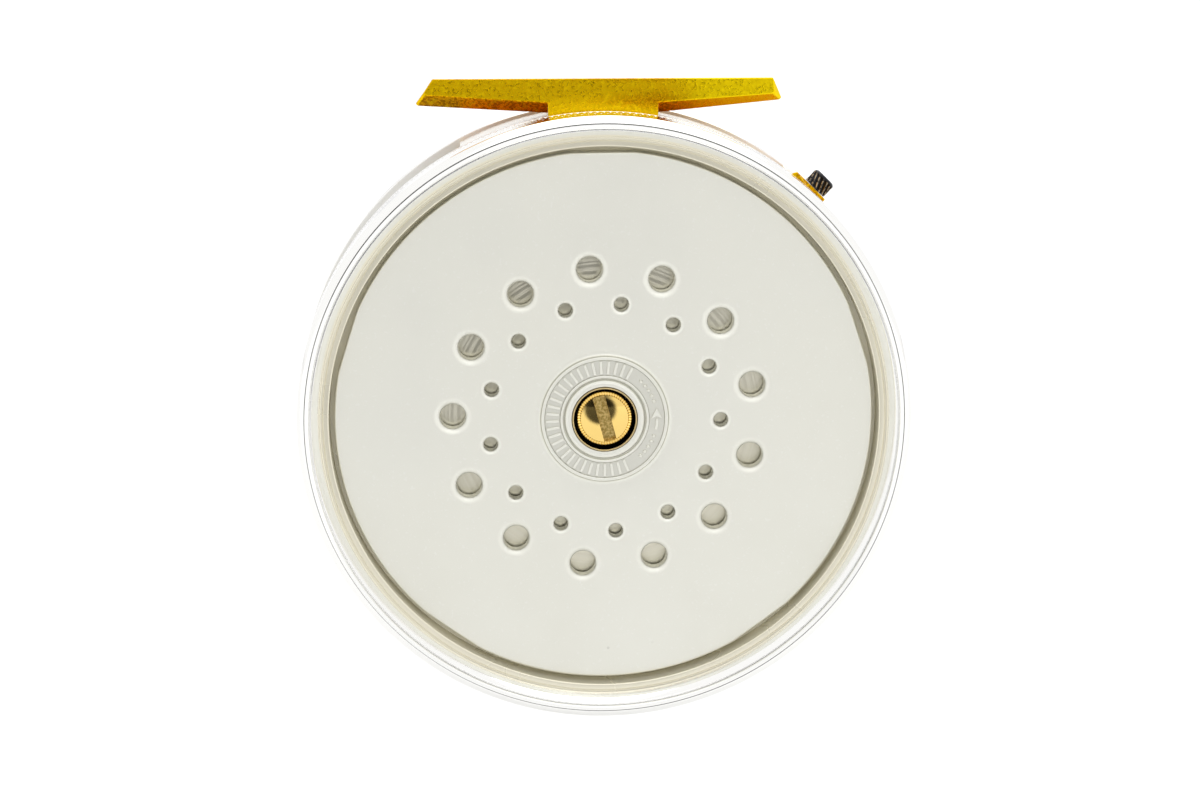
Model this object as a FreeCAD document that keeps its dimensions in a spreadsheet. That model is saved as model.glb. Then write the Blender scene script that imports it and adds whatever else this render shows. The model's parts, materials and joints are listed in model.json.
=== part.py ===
import FreeCAD, Part
import math
import os
import Sketcher

# A 4 inch narrow-drum fly reel with a cage of two rims, a ventilated back plate, a drum that
# runs on two ball races, a ratchet check with a regulator, and a foot for a rod's reel seat.
#
# Reel frame: the spindle is local Z, pointing out of the back plate. Local Y points up at the
# foot, and local Z = 0 is the middle of the foot. The row frame turns that by 90 degrees about
# X and puts its origin on the foot's seat: row Y = -local Z, row Z = local Y - seatHeight.

DIMENSIONS = {
    # cage
    "seatHeight": 56.0,
    "rimRadius": 50.8,
    "rimBore": 45.6,
    "ledgeBore": 43.5,
    "rimDepth": 6.0,
    "rearCrest": 14.1,
    "rearLip": 11.6,
    "frontCrest": -10.1,
    "frontBore": 46.15,
    "plateUnder": 7.3,
    "plateFace": 9.9,
    "plateRadius": 44.75,
    "scallopDepth": 0.3,
    "scallopCutter": 14.0,
    "bossRadius": 10.8,
    "bossHeight": 0.5,
    "bushBore": 5.15,
    "bushRadius": 5.4,
    "largeHole": 2.1,
    "largeCircle": 25.2,
    "smallHole": 1.175,
    "smallCircle": 19.4,
    "holeAngle": 95.6,
    "holeCount": 13,
    "cageCircle": 48.3,
    "frameScrew": 1.0,
    "strapInner": 46.4,
    "strapOuter": 50.2,
    "pillarRadius": 2.0,
    # foot
    "footHalfTop": 27.9,
    "footTipLeft": 30.7,
    "footTipRight": 29.5,
    "footHalfDepth": 5.4,
    "footLeftHeight": 4.5,
    "footRightHeight": 3.8,
    "footTipRise": 0.9,
    "footTipSet": 0.6,
    "footRootHeight": 5.8,
    "pedestalHalf": 9.05,
    "saddlePad": 49.4,
    "footChamfer": 1.4,
    "footScrew": 1.2,
    "footScrewX": 5.0,
    # bearings
    "spindleRadius": 3.0,
    "housingRadius": 8.0,
    "raceRadius": 6.5,
    "raceWidth": 3.5,
    "ballRadius": 1.0,
    "ballCircle": 4.75,
    "grooveRadius": 1.03,
    "ballCount": 9,
    "raceRear": 3.2,
    "raceFront": -4.4,
    # drum
    "drumRadius": 45.4,
    "flangeTop": 3.6,
    "flangeThick": 1.2,
    "coverTop": 6.7,
    "coverInner": 14.5,
    "coverOuter": 28.2,
    "arborOuter": 19.2,
    "arborInner": 16.8,
    "arborEnd": -8.0,
    "windingFace": -9.6,
    "windingRadius": 45.75,
    "handleCircle": 36.0,
    "gripLength": 20.6,
    # check
    "gearRoot": 31.8,
    "gearTip": 33.0,
    "gearTeeth": 60,
    "gearThick": 1.6,
    "pawlPost": 37.3,
    "leafUnder": 39.75,
    "leafThick": 0.35,
    "anchorAcross": 12.1,
    "anchorUp": 39.55,
    "checkFloor": 4.1,
    "pawlGap": 0.08,
    "regulatorHeight": -2.6,
    "plungerTip": 41.0,
    "plungerTop": 48.0,
    "plungerFace": 5.6,
    "padHeight": 51.3,
    "padLeft": 6.0,
    "padRight": 2.3,
    "boreRadius": 1.0,
    "pocketHalf": 0.8,
    "nutRadius": 2.1,
    "nutEnd": 54.0,
}

REGULATOR_ANGLE = 45.4
PAWL_ANGLE = 36.0
PILLAR_FIRST, PILLAR_STEP, PILLAR_COUNT = 173.8, 55.8, 4
STRAP_FROM, STRAP_SPLIT, STRAP_TO = 37.0, 63.0, 118.0
STRAP_SCREWS = (40.5, 57.5, 71.0, 109.0)
LUG_COUNT = 5
HANDLE_ANGLE = 270.0

doc = FreeCAD.newDocument("fly_reel")
sheet = doc.addObject("Spreadsheet::Sheet", "dims")
for row, (alias, size) in enumerate(DIMENSIONS.items(), start=1):
    sheet.set("A%d" % row, alias)
    sheet.set("B%d" % row, str(size))
    sheet.setAlias("B%d" % row, alias)
doc.recompute()

sub_parts = []


# ---------------------------------------------------------------- frames and small helpers

def value(expression):
    """The number that an expression on the sheet gives."""
    return float(sheet.evalExpression(expression.replace("dims.", "")))


def reel_frame(angle=0.0):
    """Local Z out of the back plate, turned about it by angle in degrees."""
    stand = FreeCAD.Placement(FreeCAD.Vector(0, 0, -value("dims.seatHeight")),
                              FreeCAD.Rotation(FreeCAD.Vector(1, 0, 0), 90))
    return stand * FreeCAD.Placement(FreeCAD.Vector(), FreeCAD.Rotation(FreeCAD.Vector(0, 0, 1), angle))


def radial_frame(angle, height):
    """Local Z along a radius at angle, at a height on the spindle's axis, local X across it."""
    swing = FreeCAD.Placement(FreeCAD.Vector(0, 0, height),
                              FreeCAD.Rotation(FreeCAD.Vector(0, 0, 1), angle - 90))
    tip = FreeCAD.Placement(FreeCAD.Vector(), FreeCAD.Rotation(FreeCAD.Vector(1, 0, 0), -90))
    return reel_frame() * swing * tip


def new_body(label, placement=None, many=False):
    body = doc.addObject("PartDesign::Body", label)
    body.Label = label
    body.AllowCompound = many
    body.Placement = placement or reel_frame()
    if placement is None:
        body.setExpression("Placement.Base.z", "-dims.seatHeight")
    sub_parts.append(body)
    return body


def origin_feature(body, role):
    return [feature for feature in body.Origin.OriginFeatures if feature.Role == role][0]


def new_sketch(body, name, plane, offset=None):
    sketch = body.newObject("Sketcher::SketchObject", name)
    sketch.AttachmentSupport = [(origin_feature(body, plane), "")]
    sketch.MapMode = "FlatFace"
    if offset is not None:
        sketch.setExpression("AttachmentOffset.Base.z", offset)
    return sketch


def hold_point(sketch, element, point, x, y):
    """Fix a point of the sketch at the two expressions, measured from the origin."""
    along = sketch.addConstraint(Sketcher.Constraint("DistanceX", -1, 1, element, point, value(x)))
    sketch.setExpression("Constraints[%d]" % along, x)
    up = sketch.addConstraint(Sketcher.Constraint("DistanceY", -1, 1, element, point, value(y)))
    sketch.setExpression("Constraints[%d]" % up, y)


def outline(sketch, corners):
    """Closed outline of straight runs. A corner with a third item is reached by an arc of that
    radius, which bulges to the right of its run, or to the left if the radius is negative."""
    spots = [FreeCAD.Vector(value(corner[0]), value(corner[1]), 0) for corner in corners]
    count = len(corners)
    ends = []
    for index, start in enumerate(spots):
        end = spots[(index + 1) % count]
        onward = corners[(index + 1) % count]
        if len(onward) < 3:
            sketch.addGeometry(Part.LineSegment(start, end))
            ends.append((1, 2))
            continue
        radius = value(onward[2])
        chord = end - start
        side = FreeCAD.Vector(chord.y, -chord.x, 0).normalize()
        rise = abs(radius) - math.sqrt(radius ** 2 - (chord.Length / 2) ** 2)
        crown = start + chord * 0.5 + side * math.copysign(rise, radius)
        sketch.addGeometry(Part.Arc(start, crown, end))
        held = sketch.addConstraint(Sketcher.Constraint("Radius", index, abs(radius)))
        sketch.setExpression("Constraints[%d]" % held, "abs(%s)" % onward[2])
        ends.append((1, 2) if radius > 0 else (2, 1))
    for index, corner in enumerate(corners):
        following = (index + 1) % count
        sketch.addConstraint(Sketcher.Constraint("Coincident", index, ends[index][1],
                                                 following, ends[following][0]))
        hold_point(sketch, index, ends[index][0], corner[0], corner[1])


def circle(sketch, x, y, radius):
    ring = sketch.addGeometry(Part.Circle(FreeCAD.Vector(value(x), value(y), 0),
                                          FreeCAD.Vector(0, 0, 1), value(radius)))
    hold_point(sketch, ring, 3, x, y)
    held = sketch.addConstraint(Sketcher.Constraint("Radius", ring, value(radius)))
    sketch.setExpression("Constraints[%d]" % held, radius)


def revolve(body, name, corners, cut=False):
    """Turn a profile about local Z. Corners are (radius, height)."""
    sketch = new_sketch(body, name + "_profile", "XZ_Plane")
    outline(sketch, corners)
    kind = "PartDesign::Groove" if cut else "PartDesign::Revolution"
    turn = body.newObject(kind, name)
    turn.Profile = sketch
    turn.ReferenceAxis = (sketch, ["V_Axis"])
    turn.Angle = 360
    return turn


def extrude(body, name, sketch, length, cut=False):
    """Pad up from the sketch, or cut down from it, by an expression."""
    feature = body.newObject("PartDesign::Pocket" if cut else "PartDesign::Pad", name)
    feature.Profile = sketch
    feature.setExpression("Length", length)
    return feature


def round_pad(body, name, x, y, radius, low, high):
    sketch = new_sketch(body, name + "_circle", "XY_Plane", low)
    circle(sketch, x, y, radius)
    return extrude(body, name, sketch, "(%s) - (%s)" % (high, low))


def round_cut(body, name, x, y, radius, low, high):
    """Drill a round hole that runs from low to high on local Z."""
    doc.recompute()
    before = body.Shape.Volume
    sketch = new_sketch(body, name + "_circle", "XY_Plane", high)
    circle(sketch, x, y, radius)
    hole = extrude(body, name, sketch, "(%s) - (%s)" % (high, low), cut=True)
    doc.recompute()
    if body.Shape.Volume >= before:
        raise RuntimeError(name + " removed nothing")
    return hole


def around(body, name, features, count):
    """Repeat features evenly round local Z."""
    pattern = body.newObject("PartDesign::PolarPattern", name)
    pattern.Originals = features
    pattern.Axis = (origin_feature(body, "Z_Axis"), [""])
    pattern.Angle = 360
    if str(count).startswith("dims."):
        pattern.setExpression("Occurrences", count)
    else:
        pattern.Occurrences = count
    body.Tip = pattern
    doc.recompute()
    return pattern


def spot(radius, angle):
    """Expressions for the point at a radius expression and an angle in degrees."""
    return "(%s) * cos(%s deg)" % (radius, angle), "(%s) * sin(%s deg)" % (radius, angle)


def sleeve(label, inner, outer, low, high, placement=None):
    """A plain ring or, with no inner radius, a plain pin."""
    body = new_body(label, placement)
    revolve(body, "turned", [(inner, low), (outer, low), (outer, high), (inner, high)])
    return body


def arc_block(body, name, inner, outer, start, end, low, high):
    """A stretch of ring between two angles."""
    sketch = new_sketch(body, name + "_arc", "XY_Plane", low)
    corners = [spot(inner, start), spot(outer, start), spot(outer, end) + (outer,)]
    back = spot(inner, end)
    bend = "-(%s)" % inner
    outline(sketch, [(corners[0][0], corners[0][1], bend), corners[1], corners[2], back])
    return extrude(body, name, sketch, "(%s) - (%s)" % (high, low))


def cage_angles():
    """Angles of the long screws: one through each pillar, and the ones through the gold strap."""
    pillars = [PILLAR_FIRST + PILLAR_STEP * index for index in range(PILLAR_COUNT)]
    return pillars + list(STRAP_SCREWS)


def drill_cage(body, low, high, angles, radius="dims.frameScrew", name="cage_hole"):
    for index, angle in enumerate(angles):
        x, y = spot("dims.cageCircle", angle)
        round_cut(body, "%s_%d" % (name, index), x, y, radius, low, high)


# ---------------------------------------------------------------- cage

def rear_rim_ring():
    body = new_body("rear_rim_ring")
    revolve(body, "rim", [
        ("dims.ledgeBore", "dims.rimDepth"),
        ("dims.rimRadius", "dims.rimDepth"),
        ("dims.rimRadius", "dims.rearCrest - 1.2"),
        ("dims.rimRadius - 1.5", "dims.rearCrest", "1.9"),
        ("dims.rimRadius - 2.1", "dims.rearCrest - 0.3"),
        ("dims.rimBore + 1.5", "dims.rearLip + 0.1"),
        ("dims.rimBore + 0.2", "dims.rearLip"),
        ("dims.rimBore", "dims.rearLip - 0.2"),
        ("dims.rimBore", "dims.plateUnder"),
        ("dims.ledgeBore", "dims.plateUnder")])
    lug = round_pad(body, "lug", "dims.ledgeBore - 1.1", "0", "2.3", "dims.rimDepth", "dims.plateUnder")
    around(body, "lugs", [lug], LUG_COUNT)
    lug_hole = round_cut(body, "lug_hole", "dims.ledgeBore - 1.3", "0", "0.8",
                         "dims.rimDepth - 1", "dims.plateUnder + 0.1")
    around(body, "lug_holes", [lug_hole], LUG_COUNT)
    drill_cage(body, "dims.rimDepth", "dims.rimDepth + 2.5", cage_angles())


def front_rim_ring():
    body = new_body("front_rim_ring")
    revolve(body, "rim", [
        ("dims.frontBore", "dims.frontCrest + 0.5"),
        ("dims.frontBore + 0.5", "dims.frontCrest"),
        ("dims.rimRadius - 1.2", "dims.frontCrest"),
        ("dims.rimRadius", "dims.frontCrest + 1.2", "1.25"),
        ("dims.rimRadius", "-dims.rimDepth"),
        ("dims.frontBore", "-dims.rimDepth")])
    drill_cage(body, "dims.frontCrest - 1", "-dims.rimDepth + 0.5", cage_angles())
    drill_cage(body, "dims.frontCrest - 1", "dims.frontCrest + 1.8", cage_angles(), "1.8", "head_seat")


def back_plate():
    body = new_body("back_plate", reel_frame(value("dims.holeAngle")))
    revolve(body, "plate", [
        ("dims.bushRadius", "dims.plateUnder"),
        ("dims.plateRadius", "dims.plateUnder"),
        ("dims.plateRadius", "dims.plateFace - 0.3"),
        ("dims.plateRadius - 0.3", "dims.plateFace"),
        ("dims.bossRadius", "dims.plateFace"),
        ("dims.bossRadius - 0.4", "dims.plateFace + dims.bossHeight"),
        ("dims.bossRadius - 3.8", "dims.plateFace + dims.bossHeight"),
        ("dims.bossRadius - 4.3", "dims.plateFace + 0.2"),
        ("dims.bushRadius + 0.8", "dims.plateFace + dims.bossHeight"),
        ("dims.bushRadius", "dims.plateFace + dims.bossHeight")])
    large = round_cut(body, "large_hole", "dims.largeCircle", "0", "dims.largeHole",
                      "dims.plateUnder - 1", "dims.plateFace + 1")
    around(body, "large_holes", [large], "dims.holeCount")
    x, y = spot("dims.smallCircle", 180.0 / DIMENSIONS["holeCount"])
    small = round_cut(body, "small_hole", x, y, "dims.smallHole",
                      "dims.plateUnder - 1", "dims.plateFace + 1")
    around(body, "small_holes", [small], "dims.holeCount")
    reach = "dims.plateRadius + dims.scallopCutter - dims.scallopDepth"
    x, y = spot(reach, 18.5 - DIMENSIONS["holeAngle"])
    scallop = round_cut(body, "rim_scallop", x, y, "dims.scallopCutter",
                        "dims.plateUnder - 1", "dims.plateFace + 1")
    around(body, "rim_scallops", [scallop], 5)
    blind_holes(body)


def blind_holes(plate):
    """Screw holes in the plate's inner side, for the rim, the housing and the check."""
    turned_back = -DIMENSIONS["holeAngle"]
    x, y = spot("dims.ledgeBore - 1.3", turned_back)
    rim = round_cut(plate, "rim_screw_hole", x, y, "0.8", "dims.plateUnder - 0.1", "dims.plateUnder + 1.6")
    around(plate, "rim_screw_holes", [rim], LUG_COUNT)
    x, y = spot("10.3", turned_back)
    housing = round_cut(plate, "housing_screw_hole", x, y, "0.8",
                        "dims.plateUnder - 0.1", "dims.plateUnder + 1.6")
    around(plate, "housing_screw_holes", [housing], 4)
    post_x, post_y = spot("dims.pawlPost", PAWL_ANGLE + turned_back)
    round_cut(plate, "post_hole", post_x, post_y, "0.8", "dims.plateUnder - 0.1", "dims.plateUnder + 1.6")
    turn = math.degrees(math.atan2(value("dims.anchorAcross"), value("dims.anchorUp")))
    x, y = spot("sqrt(dims.anchorAcross ^ 2 + dims.anchorUp ^ 2)", PAWL_ANGLE + turn + turned_back)
    round_cut(plate, "anchor_hole", x, y, "0.6", "dims.plateUnder - 0.1", "dims.plateUnder + 1.6")


def plate_screws():
    body = new_body("plate_screws", many=True)
    x = "dims.ledgeBore - 1.3"
    shank = round_pad(body, "shank", x, "0", "0.8", "dims.rimDepth", "dims.plateUnder + 1.5")
    head = round_pad(body, "head", x, "0", "1.4", "dims.rimDepth - 0.8", "dims.rimDepth")
    around(body, "five", [shank, head], LUG_COUNT)


def pillars():
    for index in range(PILLAR_COUNT):
        body = new_body("pillar_%d" % (index + 1))
        x, y = spot("dims.cageCircle", PILLAR_FIRST + PILLAR_STEP * index)
        round_pad(body, "post", x, y, "dims.pillarRadius", "-dims.rimDepth", "dims.rimDepth")
        round_pad(body, "collar_low", x, y, "dims.pillarRadius + 0.4", "-dims.rimDepth",
                  "-dims.rimDepth + 1.2")
        round_pad(body, "collar_high", x, y, "dims.pillarRadius + 0.4", "dims.rimDepth - 1.2",
                  "dims.rimDepth")
        doc.recompute()
        round_cut(body, "bore", x, y, "dims.frameScrew", "-dims.rimDepth - 1", "dims.rimDepth + 1")


def frame_screws():
    body = new_body("frame_screws", many=True)
    for index, angle in enumerate(cage_angles()):
        x, y = spot("dims.cageCircle", angle)
        round_pad(body, "shank_%d" % index, x, y, "dims.frameScrew",
                  "dims.frontCrest + 1.8", "dims.rimDepth + 2.4")
        round_pad(body, "head_%d" % index, x, y, "1.75", "dims.frontCrest + 0.5", "dims.frontCrest + 1.8")
        doc.recompute()
        round_cut(body, "socket_%d" % index, x, y, "0.85", "dims.frontCrest + 0.3", "dims.frontCrest + 1.3")


def foot_saddle():
    body = new_body("foot_saddle")
    arc_block(body, "strap", "dims.strapInner", "dims.strapOuter", STRAP_SPLIT, STRAP_TO,
              "-dims.rimDepth", "dims.rimDepth")
    doc.recompute()
    flat = new_sketch(body, "pad_outline", "XY_Plane", "dims.rimDepth + 1")
    outline(flat, [("-dims.pedestalHalf", "dims.saddlePad"), ("dims.pedestalHalf", "dims.saddlePad"),
                   ("dims.pedestalHalf", "dims.rimRadius"), ("-dims.pedestalHalf", "dims.rimRadius")])
    extrude(body, "foot_pad", flat, "2 * dims.rimDepth + 2", cut=True)
    doc.recompute()
    drill_cage(body, "-dims.rimDepth - 1", "dims.rimDepth + 1", STRAP_SCREWS[2:])
    for index, side in enumerate((-1, 1)):
        for step, (radius, top) in enumerate((("dims.footScrew", "dims.rimRadius"), ("2.15", "48.4"))):
            sketch = new_sketch(body, "foot_hole_%d_%d_circle" % (index, step), "XZ_Plane", "-(%s)" % top)
            circle(sketch, "%d * dims.footScrewX" % side, "0", radius)
            hole = extrude(body, "foot_hole_%d_%d" % (index, step), sketch, "5", cut=True)
            hole.Reversed = True
            doc.recompute()


def reel_foot():
    body = new_body("reel_foot")
    sketch = new_sketch(body, "side_outline", "XY_Plane", "-dims.footHalfDepth")
    outline(sketch, [
        ("-dims.footHalfTop", "dims.seatHeight"),
        ("-dims.footTipLeft", "dims.seatHeight - dims.footLeftHeight + dims.footTipRise"),
        ("-dims.footTipLeft + dims.footTipSet", "dims.seatHeight - dims.footLeftHeight"),
        ("-dims.pedestalHalf", "dims.seatHeight - dims.footRootHeight"),
        ("-dims.pedestalHalf", "dims.saddlePad"),
        ("dims.pedestalHalf", "dims.saddlePad"),
        ("dims.pedestalHalf", "dims.seatHeight - dims.footRootHeight"),
        ("dims.footTipRight - dims.footTipSet", "dims.seatHeight - dims.footRightHeight"),
        ("dims.footTipRight", "dims.seatHeight - dims.footRightHeight + dims.footTipRise"),
        ("dims.footHalfTop", "dims.seatHeight")])
    foot = extrude(body, "foot", sketch, "2 * dims.footHalfDepth")
    doc.recompute()
    lower = []
    for index, edge in enumerate(body.Shape.Edges):
        middle = body.Placement.inverse().multVec(edge.CenterOfMass)
        long_run = edge.Length > 15 and abs(middle.z) > value("dims.footHalfDepth") - 0.1
        if long_run and abs(middle.x) > 12 and middle.y < value("dims.seatHeight") - 2:
            lower.append("Edge%d" % (index + 1))
    bevel = body.newObject("PartDesign::Chamfer", "under_bevel")
    bevel.Base = (foot, lower)
    bevel.setExpression("Size", "dims.footChamfer")
    body.Tip = bevel
    doc.recompute()
    for index, side in enumerate((-1, 1)):
        hole = new_sketch(body, "screw_hole_%d_circle" % index, "XZ_Plane", "-(dims.saddlePad - 0.1)")
        circle(hole, "%d * dims.footScrewX" % side, "0", "dims.footScrew")
        drilled = extrude(body, "screw_hole_%d" % index, hole, "5.0", cut=True)
        drilled.Reversed = False
        doc.recompute()


def foot_screws():
    body = new_body("foot_screws", many=True)
    for index, side in enumerate((-1, 1)):
        for name, radius, low, high in (("shank", "dims.footScrew", "48.4", "54.0"),
                                        ("head", "2.1", "47.1", "48.4")):
            sketch = new_sketch(body, "%s_%d_circle" % (name, index), "XZ_Plane", "-(%s)" % low)
            circle(sketch, "%d * dims.footScrewX" % side, "0", radius)
            pad = extrude(body, "%s_%d" % (name, index), sketch, "(%s) - (%s)" % (high, low))
            pad.Reversed = True
    doc.recompute()


def regulator_block():
    body = new_body("regulator_block")
    arc_block(body, "strap", "dims.strapInner", "dims.strapOuter", STRAP_FROM, STRAP_SPLIT,
              "-dims.rimDepth", "dims.rimDepth")
    pad = new_sketch(body, "pad_outline", "XY_Plane", "-dims.rimDepth")
    across = REGULATOR_ANGLE - 90
    corners = []
    low, high = "(dims.strapInner + 1.1)", "dims.padHeight"
    left, right = "(-dims.padLeft)", "dims.padRight"
    for radius, side in ((low, right), (low, left), (high, left), (high, right)):
        x = "%s * cos(%s deg) + %s * cos(%s deg)" % (radius, REGULATOR_ANGLE, side, across)
        y = "%s * sin(%s deg) + %s * sin(%s deg)" % (radius, REGULATOR_ANGLE, side, across)
        corners.append((x, y))
    outline(pad, corners)
    extrude(body, "pad", pad, "2 * dims.rimDepth")
    doc.recompute()
    drill_cage(body, "-dims.rimDepth - 1", "dims.rimDepth + 1", STRAP_SCREWS[:2])
    return body


def radial_bore(body, name, frame, radius, low, high):
    """A round bore along a radius: frame's local Z is that radius, low and high lie on it."""
    bore = body.newObject("PartDesign::SubtractiveCylinder", name)
    bore.Placement = frame * FreeCAD.Placement(FreeCAD.Vector(0, 0, value(low)), FreeCAD.Rotation())
    bore.setExpression("Radius", radius)
    bore.setExpression("Height", "%s - (%s)" % (high, low))
    doc.recompute()


def cut_regulator_bore(block):
    """The bore for the screw, and the pocket behind it for the plunger's cranked arm."""
    frame = reel_frame().inverse() * radial_frame(REGULATOR_ANGLE, value("dims.regulatorHeight"))
    radial_bore(block, "regulator_bore", frame, "dims.boreRadius", "dims.strapInner - 1",
                "dims.padHeight + 1")
    pocket = block.newObject("PartDesign::SubtractiveBox", "plunger_pocket")
    corner = FreeCAD.Vector(-value("dims.pocketHalf"), value("dims.strapInner - 0.1"),
                            value("dims.regulatorHeight - 1"))
    turn = FreeCAD.Rotation(FreeCAD.Vector(0, 0, 1), REGULATOR_ANGLE - 90)
    pocket.Placement = FreeCAD.Placement(turn.multVec(corner), turn)
    pocket.setExpression("Length", "2 * dims.pocketHalf")
    pocket.setExpression("Width", "dims.plungerTop + 1.2 - dims.strapInner")
    pocket.setExpression("Height", "dims.rimDepth + 0.1 - dims.regulatorHeight + 1")
    doc.recompute()


# ---------------------------------------------------------------- bearings

def bearing_housing():
    body = new_body("bearing_housing")
    revolve(body, "housing", [
        ("dims.bushBore", "dims.raceRear + dims.raceWidth"),
        ("dims.raceRadius", "dims.raceRear + dims.raceWidth"),
        ("dims.raceRadius", "dims.raceRear"),
        ("dims.raceRadius - 0.6", "dims.raceRear"),
        ("dims.raceRadius - 0.6", "dims.raceFront + dims.raceWidth"),
        ("dims.raceRadius", "dims.raceFront + dims.raceWidth"),
        ("dims.raceRadius", "dims.raceFront - 1"),
        ("dims.housingRadius", "dims.raceFront - 1"),
        ("dims.housingRadius", "dims.plateUnder - 1.2"),
        ("12.6", "dims.plateUnder - 1.2"),
        ("12.6", "dims.plateUnder"),
        ("dims.bushRadius", "dims.plateUnder"),
        ("dims.bushRadius", "dims.plateFace + dims.bossHeight + 0.1"),
        ("dims.bushBore", "dims.plateFace + dims.bossHeight + 0.1")])
    doc.recompute()
    hole = round_cut(body, "screw_hole", "10.3", "0", "0.8", "dims.plateUnder - 2", "dims.plateUnder + 0.1")
    around(body, "screw_holes", [hole], 4)


def housing_screws():
    body = new_body("housing_screws", many=True)
    seat = "dims.plateUnder - 1.2"
    shank = round_pad(body, "shank", "10.3", "0", "0.8", seat, "dims.plateUnder + 1.5")
    head = round_pad(body, "head", "10.3", "0", "1.4", seat + " - 0.8", seat)
    around(body, "four", [shank, head], 4)


def ball_race(name, low):
    """One ball race: outer ring, inner ring, cage and balls, its lower face at low."""
    high = low + " + dims.raceWidth"
    middle = low + " + dims.raceWidth / 2"
    half_gap = "0.25"
    outer = new_body("outer_race_" + name)
    revolve(outer, "ring", [("dims.ballCircle + 0.6", low), ("dims.raceRadius", low),
                            ("dims.raceRadius", high), ("dims.ballCircle + 0.6", high)])
    inner = new_body("inner_race_" + name)
    revolve(inner, "ring", [("dims.spindleRadius", low), ("dims.ballCircle - 0.6", low),
                            ("dims.ballCircle - 0.6", high), ("dims.spindleRadius", high)])
    doc.recompute()
    for ring in (outer, inner):
        groove = ring.newObject("PartDesign::SubtractiveTorus", "ball_groove")
        groove.setExpression("Radius1", "dims.ballCircle")
        groove.setExpression("Radius2", "dims.grooveRadius")
        groove.setExpression("Placement.Base.z", middle)
        ring.Tip = groove
    balls = new_body("balls_" + name, many=True)
    ball = balls.newObject("PartDesign::AdditiveSphere", "ball")
    ball.setExpression("Radius", "dims.ballRadius")
    ball.setExpression("Placement.Base.x", "dims.ballCircle")
    ball.setExpression("Placement.Base.z", middle)
    around(balls, "all_balls", [ball], "dims.ballCount")
    cage = new_body("ball_cage_" + name)
    revolve(cage, "band", [("dims.ballCircle - " + half_gap, low + " + 0.3"),
                           ("dims.ballCircle + " + half_gap, low + " + 0.3"),
                           ("dims.ballCircle + " + half_gap, high + " - 0.3"),
                           ("dims.ballCircle - " + half_gap, high + " - 0.3")])
    doc.recompute()
    window = cage.newObject("PartDesign::SubtractiveCylinder", "window")
    window.setExpression("Radius", "dims.ballRadius + 0.06")
    window.setExpression("Height", "2 * dims.ballRadius")
    window.Placement = FreeCAD.Placement(FreeCAD.Vector(), FreeCAD.Rotation(FreeCAD.Vector(0, 1, 0), 90))
    window.setExpression("Placement.Base.x", "dims.ballCircle - dims.ballRadius")
    window.setExpression("Placement.Base.z", middle)
    around(cage, "windows", [window], "dims.ballCount")


# ---------------------------------------------------------------- drum

def drum():
    body = new_body("drum")
    low_face = "dims.flangeTop - dims.flangeThick"
    revolve(body, "flange_and_arbor", [
        ("8.6", low_face),
        ("dims.arborInner", low_face),
        ("dims.arborInner", "dims.arborEnd"),
        ("dims.arborOuter", "dims.arborEnd"),
        ("dims.arborOuter", low_face + " - 0.8"),
        ("dims.arborOuter + 0.8", low_face),
        ("dims.drumRadius - 0.3", low_face),
        ("dims.drumRadius", low_face + " + 0.3"),
        ("dims.drumRadius", "dims.flangeTop - 0.3"),
        ("dims.drumRadius - 0.3", "dims.flangeTop"),
        ("dims.coverOuter", "dims.flangeTop"),
        ("dims.coverOuter", "dims.coverTop"),
        ("dims.coverInner", "dims.coverTop"),
        ("dims.coverInner", "dims.flangeTop"),
        ("8.6", "dims.flangeTop")])
    doc.recompute()
    gear_hole = round_cut(body, "gear_screw_hole", "30.2", "0", "0.8", low_face + " - 1",
                          "dims.flangeTop + 1")
    around(body, "gear_screw_holes", [gear_hole], 6)
    plate_hole = round_cut(body, "plate_screw_hole", "18.0", "0", "0.8", "dims.arborEnd - 1",
                           "dims.arborEnd + 4")
    around(body, "plate_screw_holes", [plate_hole], 6)


def winding_plate():
    body = new_body("winding_plate")
    revolve(body, "plate", [
        ("0.75", "dims.windingFace"),
        ("dims.windingRadius - 0.3", "dims.windingFace"),
        ("dims.windingRadius", "dims.windingFace + 0.3"),
        ("dims.windingRadius", "dims.arborEnd"),
        ("0.75", "dims.arborEnd")])
    doc.recompute()
    large = round_cut(body, "large_hole", "dims.largeCircle + 1.5", "0", "dims.largeHole",
                      "dims.windingFace - 1", "dims.arborEnd + 1")
    around(body, "large_holes", [large], "dims.holeCount")
    x, y = spot("dims.largeCircle + 7", 180.0 / DIMENSIONS["holeCount"])
    small = round_cut(body, "small_hole", x, y, "dims.smallHole", "dims.windingFace - 1",
                      "dims.arborEnd + 1")
    around(body, "small_holes", [small], "dims.holeCount")
    for name, circle_radius, count in (("drum", "18.0", 6), ("spindle", "5.6", 4)):
        shank = round_cut(body, name + "_screw_hole", circle_radius, "0", "0.8",
                          "dims.windingFace - 1", "dims.arborEnd + 1")
        seat = round_cut(body, name + "_screw_seat", circle_radius, "0", "1.55",
                         "dims.windingFace - 1", "dims.windingFace + 0.8")
        around(body, name + "_screw_holes", [shank, seat], count)
    x, y = spot("dims.handleCircle", HANDLE_ANGLE)
    round_cut(body, "handle_hole", x, y, "1.6", "dims.windingFace - 1", "dims.arborEnd + 1")


def screw_ring(label, circle_radius, count, head_low, head_high, tip, head_radius):
    """A ring of pan screws, driven from below towards local +Z."""
    body = new_body(label, many=True)
    shank = round_pad(body, "shank", circle_radius, "0", "0.8", head_high, tip)
    head = round_pad(body, "head", circle_radius, "0", head_radius, head_low, head_high)
    socket = None
    doc.recompute()
    socket = round_cut(body, "socket", circle_radius, "0", "0.7", head_low + " - 0.1", head_low + " + 0.45")
    around(body, "ring_of_screws", [shank, head, socket], count)


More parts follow.
